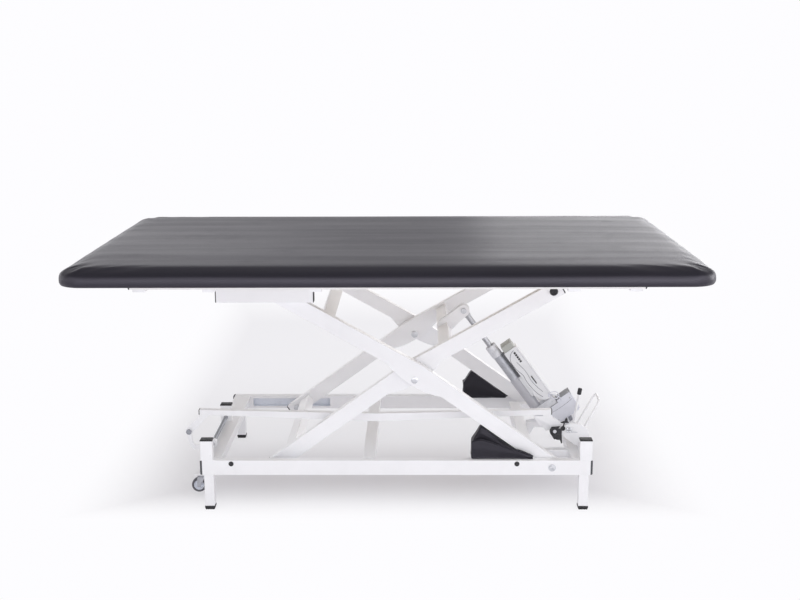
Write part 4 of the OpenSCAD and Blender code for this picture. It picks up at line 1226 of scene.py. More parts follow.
def bead_lines():
    """Where painted welds run, for each body: (points, closed) in metres."""
    base, top = [], []
    for s in (-1, 1):
        y, z = s * (RAIL_IN - 0.0006), RAIL_TOP + 0.0004
        for x0, x1 in ((-0.612, -0.552), (0.600, 0.660), (-0.085, -0.045)):
            base.append(([(x0 + 0.003, y, z), (x1 - 0.003, y, z)], False))
            base += [([(x, y, 0.1422), (x, y, 0.1668)], False) for x in (x1 + 0.0004, x0 - 0.0004)]
        y = s * 0.265
        for x in (0.4846, 0.5994):
            base.append(([(x, y + dy, z) for dy, z in mm((-14.5, 139.2), (14.5, 139.2), (15.4, 154.5),
                                                         (14.5, 169.8), (-14.5, 169.8), (-15.4, 154.5))], True))
        for x in CROSS_TUBE_X:
            y = s * 0.4296
            top += [([(x + d, y, 0.7620), (x + d, y, 0.7790)], False) for d in (-0.0205, 0.0205)]
    for x in SHAFT_X:
        for y0, y1 in ((-0.3842, -0.3538), (0.0358, 0.0662)):
            base.append(ring_at(RAIL_TOP + 0.0006, x - 0.0202, x + 0.0202, y0, y1))
    inner = cross_tube_beads(0.138, 0.2866, False) + cross_tube_beads(-0.485, 0.2866, False)
    return {"base": base, "outer_arms": cross_tube_beads(0.344, 0.3206, True), "inner_arms": inner, "top": top}


class TABLE_OT_welds(bpy.types.Operator):
    """Painted weld beads where the tubes of the frame meet"""

    bl_idname = "table.welds"
    bl_label = "Weld beads"

    def execute(self, context):
        look, size = finishes(context.scene), context.scene.table_coat.bead
        pitch = 0.0035
        for body, lines in bead_lines().items():
            g = Graph("bead_" + body, radius=float(size), spacing=0.0012, seed=3.0, material=look["coat"])
            curve = g.add("GeometryNodeMeshToCurve", {}, [g.base])
            curve = g.add("GeometryNodeResampleCurve", {"mode": "LENGTH"}, {
                "Curve": curve, "Length": g.size("spacing")})
            at = g.add("GeometryNodeInputPosition", {})
            rough = g.add("ShaderNodeTexNoise", {"noise_dimensions": "4D"}, {
                "Vector": at, "W": g.size("seed"), "Scale": 90.0, "Detail": 2.0}, "Fac")
            along = g.add("GeometryNodeSplineParameter", {}, {}, "Length")
            scallop = (along * (6.283 / pitch)).sine() * 0.13
            curve = g.add("GeometryNodeSetCurveRadius", {}, {
                "Curve": curve, "Radius": g.size("radius") * (0.75 + rough * 0.5 + scallop) * 1000.0})
            profile = g.add("GeometryNodeCurvePrimitiveCircle", {}, {"Resolution": 7, "Radius": 0.001})
            tube = g.add("GeometryNodeCurveToMesh", {}, {
                "Curve": curve, "Profile Curve": profile, "Fill Caps": True})
            start = line_mesh("bead_lines_" + body, lines)
            g.run("weld_beads_" + body, start, tube, body, "white_powder_coat", look["coat"], 60)
        return {"FINISHED"}


# Guards


def arm_underside(x):
    """Height of an outer arm's lower face over a place on its rail."""
    back = LOWER_PIVOT.x - x
    rise = ARM_RISE * back / math.cos(ARM_ANGLE) / HALF_ARM
    return (LOWER_PIVOT.z + back * math.tan(ARM_ANGLE)
            + (rise - HALF_TUBE / math.cos(BEND)) / math.cos(ARM_ANGLE) - 0.002)


def guard_section(x):
    """Corners across the guard at x, as (distance out, height): the front cushion with its rounded
    top, the notch behind it, and the upper cushion that leans back to the arm."""
    tall = arm_underside(x) - RAIL_TOP - 0.0003
    start, shoulder, tip = 0.270, 0.302, 0.479
    share = (tip - x) / (tip - shoulder)
    if x < shoulder:
        part = (x - start) / (shoulder - start)
        tall = 0.060 + (arm_underside(shoulder) - RAIL_TOP - 0.0603) * part
        share = 0.9 + 0.1 * part
    tall = max(tall, 0.0007)
    fold = min(0.0115 + 0.0575 * share, tall + 0.014)
    inner = 0.323 if x < 0.436 else 0.323 + 0.0283 * min(1.0, (x - 0.436) / 0.004)
    deep = min(1.0, max(0.0, (tall - fold) / 0.02))
    back = 0.0215 - 0.0120 * deep
    outer = [(0.0190, 0), (0.0235, fold * 0.55), (0.0222, fold * 0.90), (0.0185, fold * 0.985), (0.0135, fold),
             (back, fold * (1 - 0.05 * deep)), (back + 0.0006, fold + 0.004 * deep),
             (back * 0.55 + 0.004, fold + (tall - fold) * 0.5), (0.0004, tall)]
    low = RAIL_TOP + 0.0004
    return [(GUARD_OUT + y, low + z) for y, z in outer] + [
        (inner, low + tall), (inner - (0.004 if inner < 0.35 else 0), low + tall * 0.5), (inner, low)]


def guard_form(name, side):
    """The wedge as rings of points along the rail, closed by shrinking rings at both ends."""
    bm = bmesh.new()
    counts = (8, 6, 2, 2, 2, 2, 5, 5, 5, 5, 5, 8)
    rings = []
    xs = [0.270, 0.2712, 0.2745, 0.280] + [0.287 + 0.0064 * i for i in range(30)]
    for k, x in enumerate(xs):
        c = guard_section(min(max(x, 0.2701), 0.4789))
        ring = []
        for i, n in enumerate(counts):
            (y0, z0), (y1, z1) = c[i], c[(i + 1) % len(c)]
            ring += [(y0 + (y1 - y0) * j / n, z0 + (z1 - z0) * j / n) for j in range(n)]
        mid = (sum(p[0] for p in ring) / len(ring), sum(p[1] for p in ring) / len(ring))
        shrink = (0.93, 0.975, 0.995, 1.0)[k] if k < 4 else 1.0
        rings.append([bm.verts.new((x, side * (mid[0] + (y - mid[0]) * shrink), mid[1] + (z - mid[1]) * shrink))
                      for y, z in ring])
    for rim in (rings[0], rings[-1]):
        mid = sum((v.co for v in rim), Vector()) / len(rim)
        caps = [[bm.verts.new(mid + (v.co - mid) * scale) for v in rim] for scale in (0.8, 0.6, 0.4, 0.2)]
        rings = caps[::-1] + rings if rim is rings[0] else rings + caps
    skin(bm, rings)
    bm.faces.new(rings[0])
    bm.faces.new(rings[-1])
    bmesh.ops.recalc_face_normals(bm, faces=bm.faces)
    bm.verts.index_update()
    fold = [ring[sum(counts[:4])].index for ring in rings[6:-5]]
    return linked(name, mesh_of(name, bm)), fold


class TABLE_OT_guards(bpy.types.Operator):
    """Padded vinyl wedges that close the nip between each outer arm and its rail"""

    bl_idname = "table.guards"
    bl_label = "Arm guards"

    def execute(self, context):
        look = finishes(context.scene)
        for node, side in (("near_guard", -1), ("far_guard", 1)):
            made, fold = guard_form(node + "_cover", side)
            made.data.materials.append(look["guard_vinyl"])
            flat = [v.index for v in made.data.vertices if v.co.z < RAIL_TOP + 0.0012]
            swell(made, flat, 5.0, 0.0035, 20)
            co = places(made.data)
            co += places(made.data, "normal") * (ripple(co, np.array([34.0, 20.0, 40.0]), 21)[:, None] * 0.00055)
            for p in co:
                p[2] = max(p[2], RAIL_TOP + 0.0003)
                p[0] = min(max(p[0], 0.2695), 0.4795)
                ceiling = arm_underside(min(p[0], 0.4789)) - 0.0004
                if p[2] > ceiling and p[0] > 0.30 and abs(p[1]) < GUARD_OUT:
                    p[2] = max(ceiling, RAIL_TOP + 0.0003)
            move_to(made.data, co)
            # The two panels of the front are sewn along the fold, with a welt let into the seam
            bm = bmesh.new()
            bm.from_mesh(made.data)
            seam = [Vector(co[i]) + Vector((0, side * 0.0003, 0.0003)) for i in fold]
            tube_along(bm, seam, 0.0017, 8)
            bm.to_mesh(made.data)
            bm.free()
            finer(made)
            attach(made, "base")
            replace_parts(made, node)
            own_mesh(made)
        return {"FINISHED"}


# Castors


class TABLE_OT_castors(bpy.types.Operator):
    """Two swivel castors under the left end, clear of the floor while the feet stand"""

    bl_idname = "table.castors"
    bl_label = "Castors"

    def execute(self, context):
        look = finishes(context.scene)
        for word, side in (("near", -1), ("far", 1)):
            x, y, z = -0.634, side * 0.260, 0.041
            wx = x - 0.012
            bm = bmesh.new()
            lathe(bm, mm((0, 69.5), (12.5, 69.5), (15, 71), (16.2, 74), (16.2, 75.5), (15, 76.2), (15, 77),
                         (16, 77.6), (16, 79.2), (15.2, 79.6), (5.9, 79.6), (5.9, 85.8), (0, 85.8)),
                  (x, y, 0), (0, 0, 1))
            hex_part(bm, (x, y, 0.0859), (0, 0, 1), 0.0082, 0.0030, 0.001)
            points = mm((-15, 74.5), (10.5, 74.5), (7, 64), (0.5, 53), (-5, 45.5), (-6.2, 40), (-7.2, 36.2),
                        (-9.5, 34.5), (-14.5, 34.5), (-17, 36.2), (-17.8, 40), (-17.2, 50), (-16.5, 62))
            for s in (-1, 1):
                slab(bm, [(x + px, y + s * 0.013 - 0.0013, pz) for px, pz in points], (0, 0.0026, 0))
                hex_part(bm, (wx, y + s * 0.0144, z), (0, s, 0), 0.0048, 0.0024, 0.0008)
            block(bm, (x - 0.0158, y - 0.0143, 0.0718), (x + 0.0118, y + 0.0143, 0.0746))
            rod(bm, (wx, y - 0.0145, z), (0, 1, 0), 0.0039, 0.029)
            face_outwards(bm)

            def on_fork(e, y=y):
                return e.verts[0].co.z < 0.0748 and abs(abs(e.verts[0].co.y - y) - 0.013) < 0.003

            round_edges(bm, 0.0006, 0.002, 50, 2, on_fork)
            piece("castor_fork_" + word + "_finished", bm, word + "_castor", "castor_steel", look["castor"],
                  stands_for="castor_fork_" + word)
            bm = bmesh.new()
            lathe(bm, mm((17, -7.8), (20, -8.6), (23, -8.4), (24.3, -7), (24.9, -4), (25, 0), (24.9, 4),
                         (24.3, 7), (23, 8.4), (20, 8.6), (17, 7.8)),
                  (wx, y, z), (0, 1, 0), 64)
            tyre = len(bm.faces)
            lathe(bm, mm((4.2, -10.9), (6.6, -10.9), (7.1, -10.3), (7.3, -7), (8.4, -5.6), (13.2, -5),
                         (14.7, -6.2), (15.3, -8), (16.6, -8.6), (17.1, -7.8), (17.1, 7.8), (16.6, 8.6),
                         (15.3, 8), (14.7, 6.2), (13.2, 5), (8.4, 5.6), (7.3, 7), (7.1, 10.3), (6.6, 10.9),
                         (4.2, 10.9)),
                  (wx, y, z), (0, 1, 0), 64)
            for k in range(6):
                turn = Matrix.Translation((wx, y, z)) @ Matrix.Rotation(k * math.pi / 3, 4, "Y")
                for s in (-1, 1):
                    rib = s * 0.0062
                    block(bm, (0.0068, rib - 0.0014, -0.0010), (0.0150, rib + 0.0014, 0.0010), turn)
            for i, f in enumerate(bm.faces):
                f.material_index = 0 if i < tyre else 1
            bmesh.ops.recalc_face_normals(bm, faces=bm.faces)
            piece("castor_wheel_" + word + "_finished", bm, word + "_wheel", "castor_tyre",
                  [look["tread"], look["hub"]], stands_for="castor_wheel_" + word)
        return {"FINISHED"}


# Actuator


def actuator_place():
    return Matrix.Translation(ACTUATOR_FOOT) @ Matrix.Rotation(ACTUATOR_TILT, 4, "Y")


def in_actuator(point):
    """A place on the table seen from the actuator: across, sideways and along its axis."""
    return actuator_place().inverted() @ Vector(point)


class TABLE_OT_actuator(bpy.types.Operator):
    """The linear actuator: motor, gear casting, tube, control box and ridged piston rod"""

    bl_idname = "table.actuator"
    bl_label = "Actuator"

    def execute(self, context):
        look, place = finishes(context.scene), actuator_place()
        axis, sideways = place.to_3x3() @ Vector((0, 0, 1)), Vector((0, 1, 0))

        def seam(bm, path, y, radius, steps):
            """A fine line along (across, along) pairs on both faces of a housing."""
            for s in (-1, 1):
                line = smooth_path([(a, s * y, b) for a, b in path], steps)
                tube_along(bm, [place @ Vector(p) for p in line], radius, 8)

        bm = bmesh.new()
        lathe(bm, mm((0, 60), (18.4, 60), (19, 60.8), (19, 86), (18.7, 86.4), (18.7, 87.2), (19, 87.6),
                     (19, 198.5), (18.4, 202), (17.1, 203), (17, 203.4), (17, 252), (16.8, 252.4),
                     (16.8, 253.2), (17, 253.6), (17, 306.4), (18.4, 306.4), (19.4, 307.4), (19.5, 308.4),
                     (19.5, 329.6), (18.9, 330.2), (18.9, 331.6), (19.5, 332.2), (19.5, 349.6), (18.4, 351.8),
                     (13.2, 351.9), (12.4, 350.8), (10.7, 350.6), (10.5, 344), (0, 344)),
              ACTUATOR_FOOT, axis, 56)
        thick_end, collar_start = 0.2032, 0.3064
        for f in bm.faces:
            t = in_actuator(f.calc_center_median()).z
            f.material_index = 1 if t < thick_end else 2 if t > collar_start else 0
        piece("actuator_tube_finished", bm, "actuator_body", "grey_aluminium",
              [look["tube_grey"], look["tube_dark"], look["collar"]], stands_for="actuator_tube")

        bm = node_mesh("gear_housing")
        round_edges(bm, 0.0035, 0.010, steps=4)
        for s in (-1, 1):
            for lx in (-0.012, 0.004, 0.020):
                y = s * 0.0205
                block(bm, (lx - 0.0013, y - 0.0022, 0.0505), (lx + 0.0013, y + 0.0022, 0.0715), place)
            lathe(bm, mm((0, 0), (9.5, 0), (10.8, 0.6), (11.2, 1.6), (9.8, 2.1), (7, 2.1), (6.4, 1.2), (0, 1.1)),
                  place @ Vector((0, s * 0.0097, 0)), sideways * s, 32)
        piece("gear_housing_finished", bm, "actuator_body", "grey_cast", look["cast"], stands_for="gear_housing")

        case_end = 0.0462

        def lid(mid):
            return 1 if in_actuator(mid).z > case_end else 0

        softened("motor_housing", "actuator_body", "grey_plastic", [look["motor"], look["lid"]],
                 0.0052, 0.008, 5, lid)
        spots = [(place @ Vector((x, y, 0.0569)), axis) for x in (0.080, 0.124) for y in (-0.020, 0.020)]
        for lx, y, lz in mm((40, 26.9, -6), (118, 26.9, -6), (40, 26.9, 38), (118, 26.9, 38), (-12, 21.9, 61),
                            (60, 21.9, 61)):
            spots += [(place @ Vector((lx, s * y, lz)), sideways * s) for s in (-1, 1)]
        screws("actuator_screws", spots, 0.0032, 0.0016, "actuator_body", look["zinc"])
        # Parting line round the motor case, the rail between tube and box, and the short lead from box to motor
        bm = bmesh.new()
        seam(bm, mm((34, 30), (60, 27.5), (95, 27.5), (124, 30)), 0.0270, 0.0006, 5)
        piece("motor_parting_line", bm, "actuator_body", "grey_plastic", look["box_line"], 60)
        bm = bmesh.new()
        # The rail is a clip rail in near black plastic; its dark colour also fills the gap between tube and box
        # with painted shade where only shade falls
        block(bm, (0.0150, -0.0130, 0.2002), (0.0262, 0.0130, 0.3030), place)
        clip_start, clip_pitch = 0.214, 0.024
        for k in range(4):
            z = clip_start + k * clip_pitch
            block(bm, (0.0160, -0.0142, z), (0.0250, 0.0142, z + 0.010), place)
        round_edges(bm, 0.0009, 0.004, 50, 2)
        piece("box_mounting_rail", bm, "actuator_body", "black_plastic", look["mount"])
        bm = bmesh.new()
        lead = smooth_path(mm((560, -29.2, 283), (558, -33, 293), (570, -35, 300), (586, -34, 298.5),
                              (594.5, -32, 286), (586, -30, 274), (572, -29, 276), (566, -30, 286),
                              (574, -33.5, 290.5), (588, -34.5, 285), (600, -31, 276), (604, -26.2, 270)), 7)
        tube_along(bm, lead, 0.0017, 10)
        for end, next_in in ((0, 2), (-1, -3)):
            lathe(bm, mm((0, -1), (4.2, -1), (4.2, 2.2), (3, 3), (2.6, 6), (0, 6)),
                  lead[end], Vector(lead[next_in]) - Vector(lead[end]), 20)
        piece("motor_lead", bm, "actuator_body", "grey_plastic", look["motor"], 60)

        bm = node_mesh("control_box")
        round_edges(bm, 0.0042, 0.012, 20, 4)
        piece("control_box_finished", bm, "actuator_body", "pale_plastic", look["box"], stands_for="control_box")
        bm = bmesh.new()
        seam(bm, mm((57.5, 295.5), (43, 290), (28.7, 273.7), (25.2, 252), (28.7, 221.3), (33.5, 201.1),
                    (30.5, 179.8), (30.9, 151.8), (35.6, 118.7), (44, 96)), 0.0278, 0.0011, 6)
        seam(bm, mm((42.5, 253.7), (48, 217.1), (47.8, 193), (45.2, 165.7), (49.5, 132.7), (55, 112)),
             0.0278, 0.0009, 6)
        seam(bm, mm((70, 292), (71.6, 240), (71.6, 170), (70, 104)), 0.0276, 0.0005, 5)
        piece("control_box_seams", bm, "actuator_body", "pale_plastic", look["box_line"], 60)
        bm = bmesh.new()
        socket_start, socket_pitch = 0.246, 0.009
        for i in range(5):
            z = socket_start + i * socket_pitch
            block(bm, (0.0524, -0.0284, z - 0.0006), (0.0596, -0.0262, z + 0.0066), place)
            block(bm, (0.0538, -0.0287, z + 0.0008), (0.0582, -0.0280, z + 0.0052), place)
        block(bm, (0.0526, -0.0284, 0.1495), (0.0564, -0.0262, 0.1825), place)
        round_edges(bm, 0.0005, 0.001, 50, 2)
        piece("control_box_sockets", bm, "actuator_body", "black_plastic", look["black"])
        capped("control_box_end", "actuator_body", "box_end_plastic", look["box_end"], 0.003, 4)

        bm = bmesh.new()
        profile = [(0, 0.2150), (0.0095, 0.2150), (0.0100, 0.2155), (0.0100, 0.2170)]
        t, ridge_pitch, ridges_end = 0.2180, 0.0042, ROD_EYE - 0.034
        while t < ridges_end:
            profile += [(0.0100, t), (0.00965, t + 0.0005), (0.00965, t + 0.0013), (0.0100, t + 0.0018)]
            t += ridge_pitch
        profile += [(radius, ROD_EYE - back) for radius, back in mm((10, 29), (10.6, 28.8), (11.4, 27.6),
                                                                    (11.4, 20), (10.8, 18.8), (0, 18.6))]
        lathe(bm, profile, ACTUATOR_FOOT, axis, 40)
        block(bm, (-0.0108, -0.0113, ROD_EYE - 0.0196), (0.0108, 0.0113, ROD_EYE), place)
        for s in (-1, 1):
            rod(bm, place @ Vector((0, s * 0.0002, ROD_EYE)), sideways * s, 0.0129, 0.0112, 0.0012)
            rod(bm, place @ Vector((0, s * 0.0104, ROD_EYE)), sideways * s, 0.0072, 0.0010, 0.0004)
        round_edges(bm, 0.0010, 0.015, 60, 2, lambda e: e.calc_length() > 0.018)
        piece("actuator_rod_finished", bm, "piston", "bright_steel", look["rod"], stands_for="actuator_rod")

        cheek_in, cheek_out, pin_radius = 0.0119, 0.0181, 0.0105

        def pin(mid):
            away = math.hypot(mid.x - ACTUATOR_FOOT.x, mid.z - ACTUATOR_FOOT.z)
            return 1 if not cheek_in <= abs(mid.y) <= cheek_out and away < pin_radius else 0

        softened("actuator_bracket", "base", "white_powder_coat", [look["coat"], look["zinc"]],
                 0.0011, 0.003, 2, pin)
        return {"FINISHED"}


# Foot control


class TABLE_OT_foot_control(bpy.types.Operator):
    """Cranks, shafts, adjusting screw, wire loop pedal and hand lever of the foot control"""

    bl_idname = "table.foot_control"
    bl_label = "Foot control"

    def execute(self, context):
        look = finishes(context.scene)
        shaft_radius, pin_radius, pin_back, pin_z = 0.0072, 0.0095, 0.078, 0.228
        screw_y, cam_y = -0.2672, -0.2712
        for side, x in zip(("left", "right"), SHAFT_X):
            def steel(mid, x=x):
                on_shaft = math.hypot(mid.x - x, mid.z - SHAFT_Z) < shaft_radius
                on_pin = math.hypot(mid.x - x + pin_back, mid.z - pin_z) < pin_radius
                in_plate, in_hub = -0.2622 < mid.y < -0.2558, -0.2625 < mid.y < -0.2355
                return 1 if (on_pin and not in_plate) or (on_shaft and not in_hub) else 0

            softened(side + "_rocker", side + "_crank", "white_powder_coat", [look["coat"], look["shaft"]],
                     0.0012, 0.0022, 3, steel)
        # Adjusting screws in zinc on the face of the right crank
        bm = bmesh.new()
        for x0, z, length in ((0.5945, 0.2395, 0.0150), (0.5945, 0.2298, 0.0125)):
            threaded(bm, (x0, screw_y, z), (1, 0, 0), 0.0019, length + 0.004, 0.0011)
            for d in (0.0, length - 0.0042):
                hex_part(bm, (x0 + d, screw_y, z), (1, 0, 0), 0.0034, 0.0036, 0.0005)
        block(bm, (0.6035, -0.2700, 0.2258), (0.6050, -0.2610, 0.2436))
        rod(bm, (0.6085, -0.2655, 0.2275), (1, 0, -0.04), 0.0013, 0.022, 0.0003)
        piece("crank_adjuster_finished", bm, "right_crank", "zinc_steel", look["zinc"],
              stands_for="crank_adjuster")

        # Black cam in front of the link's right pin, with the round knob and the wing above it
        bm = bmesh.new()
        cam = mm((535.9, 233), (554.7, 248.5), (569.3, 240.5), (573.3, 240.5), (577.4, 233.8), (576.9, 223.8),
                 (579.3, 190.2), (575.3, 189.4), (572.7, 198.6), (570.2, 202), (559, 202.8), (550.8, 210.4),
                 (547.3, 223.8), (544, 230.5))
        slab(bm, [(px, cam_y, pz) for px, pz in cam], (0, 0.0042, 0))
        round_edges(bm, 0.0007, 0.002, 30, 2)
        lathe(bm, mm((0, 0), (10, 0), (10, 0.7), (9.3, 1.2), (0, 1.2)), (0.5655, cam_y, 0.2120), (0, -1, 0))
        grip = []
        for r, h in mm((6.8, 0), (7.6, 0.8), (7.6, 6.2), (6.6, 7.4), (3, 7.6), (2.6, 6.6)):
            grip.append(circle(bm, Vector((0.5814, -0.2623 - h, 0.2407)), Vector((1, 0, 0)), Vector((0, 0, 1)),
                               lambda t, r=r: r + 0.0003 * math.cos(12 * t), 60))
        skin(bm, grip)
        ends(bm, grip)
        rod(bm, (0.5820, -0.2660, 0.2470), (0.14, 0, 0.5), 0.0022, 0.0150, 0.0004)
        slab(bm, [(x, -0.2695, z) for x, z in mm((572.9, 261.2), (578, 260), (596, 260.6), (600.8, 261.9),
                                                 (596, 265), (595.5, 273.5), (592.5, 278.3), (588.5, 274),
                                                 (586.4, 266), (580, 264.5))], (0, 0.0060, 0))
        bmesh.ops.recalc_face_normals(bm, faces=bm.faces)
        piece("link_cam", bm, "right_crank", "black_plastic", look["black"])
        bm = bmesh.new()
        lathe(bm, mm((0, 0), (6, 0), (6, 0.6), (5.2, 1.4), (2.4, 1.6), (2, 1), (0, 1)),
              (0.5535, -0.2711, 0.2313), (0, -1, 0), 32)
        piece("link_cam_pin", bm, "right_crank", "zinc_steel", look["zinc"])

        shaft = SHAFT_X[1]
        turn = Matrix.Translation((shaft, 0, SHAFT_Z)) @ Matrix.Rotation(math.radians(28.6), 4, "Y")
        up = turn.to_3x3() @ Vector((0, 0, 1))
        y0, y1, reach, bend = -0.190, -0.090, 0.144, 0.026
        corner = [(0, y0, 0.0082), (0, y0, 0.060), (0, y0, reach - bend)]
        for a in (math.pi / 2 * k / 8 for k in range(1, 8)):
            corner.append((0, y0 + 0.018 * (1 - math.cos(a)), reach - bend + bend * math.sin(a)))
        corner += [(0, y0 + 0.018, reach), (0, (y0 + y1) / 2, reach)]
        path = corner + [(0, y0 + y1 - p[1], p[2]) for p in corner[-2::-1]]
        bm = bmesh.new()
        tube_along(bm, [turn @ Vector(p) for p in path], 0.0035, 16)
        for y in (y0, y1):
            lathe(bm, mm((7.1, -6), (10.4, -6), (11, -5.4), (11, 5.4), (10.4, 6), (7.1, 6)),
                  (shaft, y, SHAFT_Z), (0, 1, 0))
            lathe(bm, mm((4.6, 10.2), (5.6, 11.2), (5, 12.6), (3.4, 13.8)), (shaft, y, SHAFT_Z), up, 20)
        piece("loop_pedal_finished", bm, "right_crank", "white_powder_coat", look["coat"],
              stands_for="loop_pedal")

        hub = Vector((shaft, -0.050, SHAFT_Z))
        up = Matrix.Rotation(math.radians(9.5), 3, "Y") @ Vector((0, 0, 1))
        bm = bmesh.new()
        lathe(bm, mm((7.1, -8), (11.4, -8), (12, -7.4), (12, 7.4), (11.4, 8), (7.1, 8)), hub, (0, 1, 0))
        lathe(bm, mm((5.2, 11.2), (4.8, 12.8), (4.4, 14.2), (4.3, 15), (4.3, 112.5), (0, 112.5)),
              hub, up, 24)
        rod_part = len(bm.faces)
        tip = [(0.0040, 0.1108), (0.0066, 0.1108), (0.0073, 0.1116)]
        for k in range(6):
            t = 0.1135 + k * 0.0028
            tip += [(0.0075, t), (0.0075, t + 0.0014), (0.0070, t + 0.0018), (0.0070, t + 0.0024)]
        tip += [(0.0074, 0.1310), (0.0068, 0.1324), (0.0052, 0.1330), (0, 0.1331)]
        lathe(bm, tip, hub, up, 32)
        for i, f in enumerate(bm.faces):
            f.material_index = 0 if i < rod_part else 1
        piece("rod_lever_finished", bm, "lever", "white_powder_coat", [look["coat"], look["tip"]],
              stands_for="rod_lever")
        return {"FINISHED"}


# Stage


def camera_turn():
    """The camera's right, up and forward directions, from its pitch, yaw and roll."""
    forward = Vector((math.sin(YAW), math.cos(YAW), 0))
    right = Vector((math.cos(YAW), -math.sin(YAW), 0))
    look = forward * math.cos(PITCH) - Vector((0, 0, 1)) * math.sin(PITCH)
    up = Vector((0, 0, 1)) * math.cos(PITCH) + forward * math.sin(PITCH)
    return right * math.cos(ROLL) + up * math.sin(ROLL), up * math.cos(ROLL) - right * math.sin(ROLL), look


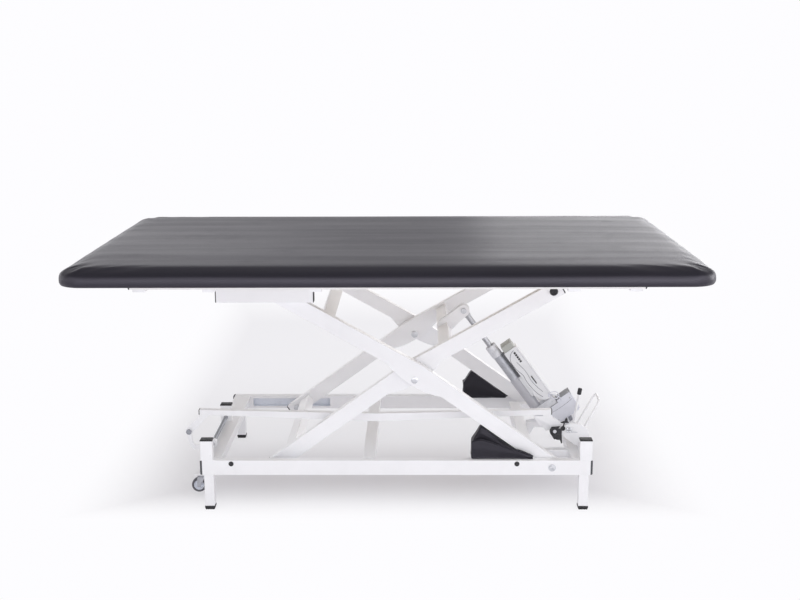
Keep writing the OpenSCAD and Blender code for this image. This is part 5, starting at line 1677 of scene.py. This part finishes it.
class TABLE_OT_stage(bpy.types.Operator):
    """Pale studio floor, soft light and the camera"""

    bl_idname = "table.stage"
    bl_label = "Stage"

    def execute(self, context):
        scene, look = context.scene, context.scene.table_stage
        scene.view_settings.view_transform = "Standard"
        data = bpy.data.cameras.new("camera")
        data.sensor_width, data.lens = 36.0, LENS_PIXELS / 800 * 36
        data.clip_end = 100
        camera = linked("camera", data)
        right, up, forward = camera_turn()
        turn = Matrix((right, up, -forward)).transposed().to_4x4()
        camera.matrix_world = Matrix.Translation(CAMERA_PLACE) @ turn
        scene.camera = camera
        world = bpy.data.worlds.new("studio")
        scene.world = world
        world.use_nodes = True
        air = Nodes()
        air.tree = world.node_tree
        sky = air.tree.nodes["Background"]
        sky.inputs["Color"].default_value = BACKDROP
        seen, glossy, through = (air.add("ShaderNodeLightPath", {}, {}, kind) for kind in (
            "Is Camera Ray", "Is Glossy Ray", "Is Transmission Ray"))
        shown = glossy.most(through)
        # What polished parts show: the pale background low down, brighter to both sides, and the dark
        # ceiling of the studio over it
        way = air.add("ShaderNodeTexCoord", {}, {}, "Generated")
        x, y, z = air.axes(way)
        low = z.between(0.22, 0.56, 1.0, 0.0) * (1.0 + z.between(0.06, 0.20, 0.7, 0.0))
        right, left = x.between(0.0, 0.28, 0.54, 1.25), x.between(-0.30, 0.02, 0.98, 0.54)
        back = y.between(-0.1, 0.3) * right.most(left)
        behind = low * back.most(abs(x).between(0.45, 0.85))
        # The photographer's end of the room is lit by the strip lamp, most of all to the right
        front = y.between(-0.5, -0.1, 1.0, 0.0) * z.between(0.42, 0.80, 1.0, 0.0)
        front = front * x.between(0.0, 0.45, 1.7, 3.0)
        studio = behind.most(front) * 0.84 + 0.16
        strength = look.sky + shown * (studio - look.sky)
        strength = strength + seen * (1.0 - strength)
        air.tree.links.new(strength.socket, sky.inputs["Strength"])

        def lamp(name, place, aim, size, power, tint=(1, 1, 1)):
            light = bpy.data.lights.new(name, "AREA")
            light.shape, light.size, light.size_y = "RECTANGLE", size[0], size[1]
            light.energy, light.color = power, tint
            made = linked(name, light)
            made.matrix_world = Matrix.Translation(place) @ (
                Vector(aim) - Vector(place)).to_track_quat("-Z", "Y").to_matrix().to_4x4()
            return made

        lamp("softbox", (0.2, -0.4, 3.4), (0.1, 0, 0.5), (3.6, 2.6), look.softbox).visible_glossy = False
        lamp("front_strip", (0.1, -4.3, 1.15), (0.1, 0, 0.75), (5.2, 0.5), look.softbox * 1.1, (0.98, 0.98, 1.0))
        for name, place, aim, size, share in (
                ("right_front", (1.8, -4.2, 1.25), (0.8, -0.6, 0.8), (1.6, 0.6), 0.3),
                ("right_edge", (3.4, 0.2, 1.1), (0.9, -0.2, 0.7), (1.2, 1.2), 0.8),
                ("right_back", (2.05, 5.0, 1.3), (0.5, 0.2, 0.8), (3.0, 1.1), 0.78)):
            lamp(name, place, aim, size, look.softbox * share)

        floor = Finish("studio_floor", tuple(look.floor), 0.9)
        seen = floor.add("ShaderNodeLightPath", {}, {}, "Is Camera Ray")
        # Round the table the floor shows its own shading, and further out it goes over into the background
        fx, fy = floor.part("X"), floor.part("Y")
        least = look.clearing
        clear = abs(fx).between(0.55, 1.1, least, 1.0)
        clear = clear.most((-fy).between(0.10, 0.48, least, 1.0))
        clear = clear.most(fy.between(-0.05, 0.35, least, 0.5)).most(fy.between(1.2, 3.5))
        # Painted shade: the camera sees the floor in a darker tone than the light it throws back, which deepens
        # the floor's shadow under and round the table
        floor.tint(floor.blend(seen, tuple(look.floor), shade(tuple(look.floor), 0.86)))
        bm = bmesh.new()
        bm.faces.new([bm.verts.new(p) for p in ((-40, -12, 0), (40, -12, 0), (40, 60, 0), (-40, 60, 0))])
        made = linked("floor", mesh_of("floor", bm))
        made.data.materials.append(floor.material)
        glow = floor.add("ShaderNodeEmission", {}, {"Color": BACKDROP, "Strength": 1.0})
        mix = floor.add("ShaderNodeMixShader", {}, [seen * clear, Wire(floor, floor.shader.outputs[0]), glow])
        end = next(n for n in floor.tree.nodes if n.type == "OUTPUT_MATERIAL")
        floor.tree.links.new(mix.socket, end.inputs[0])
        return {"FINISHED"}


class TABLE_PT_panel(bpy.types.Panel):
    """Lists the sizes, colours and pieces of the table"""

    bl_idname = "TABLE_PT_panel"
    bl_label = "Bobath Table"
    bl_space_type = "VIEW_3D"
    bl_region_type = "UI"
    bl_category = "Bobath Table"

    def draw(self, context):
        for group in ("table_pad", "table_coat", "table_stage"):
            box = self.layout.box()
            settings = getattr(context.scene, group)
            for name in settings.bl_rna.properties.keys():
                if name not in ("rna_type", "name"):
                    box.prop(settings, name)
        for step in STEPS:
            self.layout.operator(step.bl_idname)


STEPS = (TABLE_OT_stage, TABLE_OT_pad, TABLE_OT_underside, TABLE_OT_frame, TABLE_OT_welds, TABLE_OT_plastics,
         TABLE_OT_fasteners, TABLE_OT_guards, TABLE_OT_castors, TABLE_OT_actuator, TABLE_OT_foot_control)
CLASSES = (PadSettings, CoatSettings, StageSettings, *STEPS, TABLE_PT_panel)


def register():
    for cls in CLASSES:
        bpy.utils.register_class(cls)
    bpy.types.Scene.table_pad = bpy.props.PointerProperty(type=PadSettings)
    bpy.types.Scene.table_coat = bpy.props.PointerProperty(type=CoatSettings)
    bpy.types.Scene.table_stage = bpy.props.PointerProperty(type=StageSettings)


def unregister():
    for name in ("table_pad", "table_coat", "table_stage"):
        delattr(bpy.types.Scene, name)
    for cls in reversed(CLASSES):
        bpy.utils.unregister_class(cls)


def main():
    register()
    for step in STEPS:
        group, name = step.bl_idname.split(".")
        getattr(getattr(bpy.ops, group), name)()


if __name__ == "__main__":
    main()
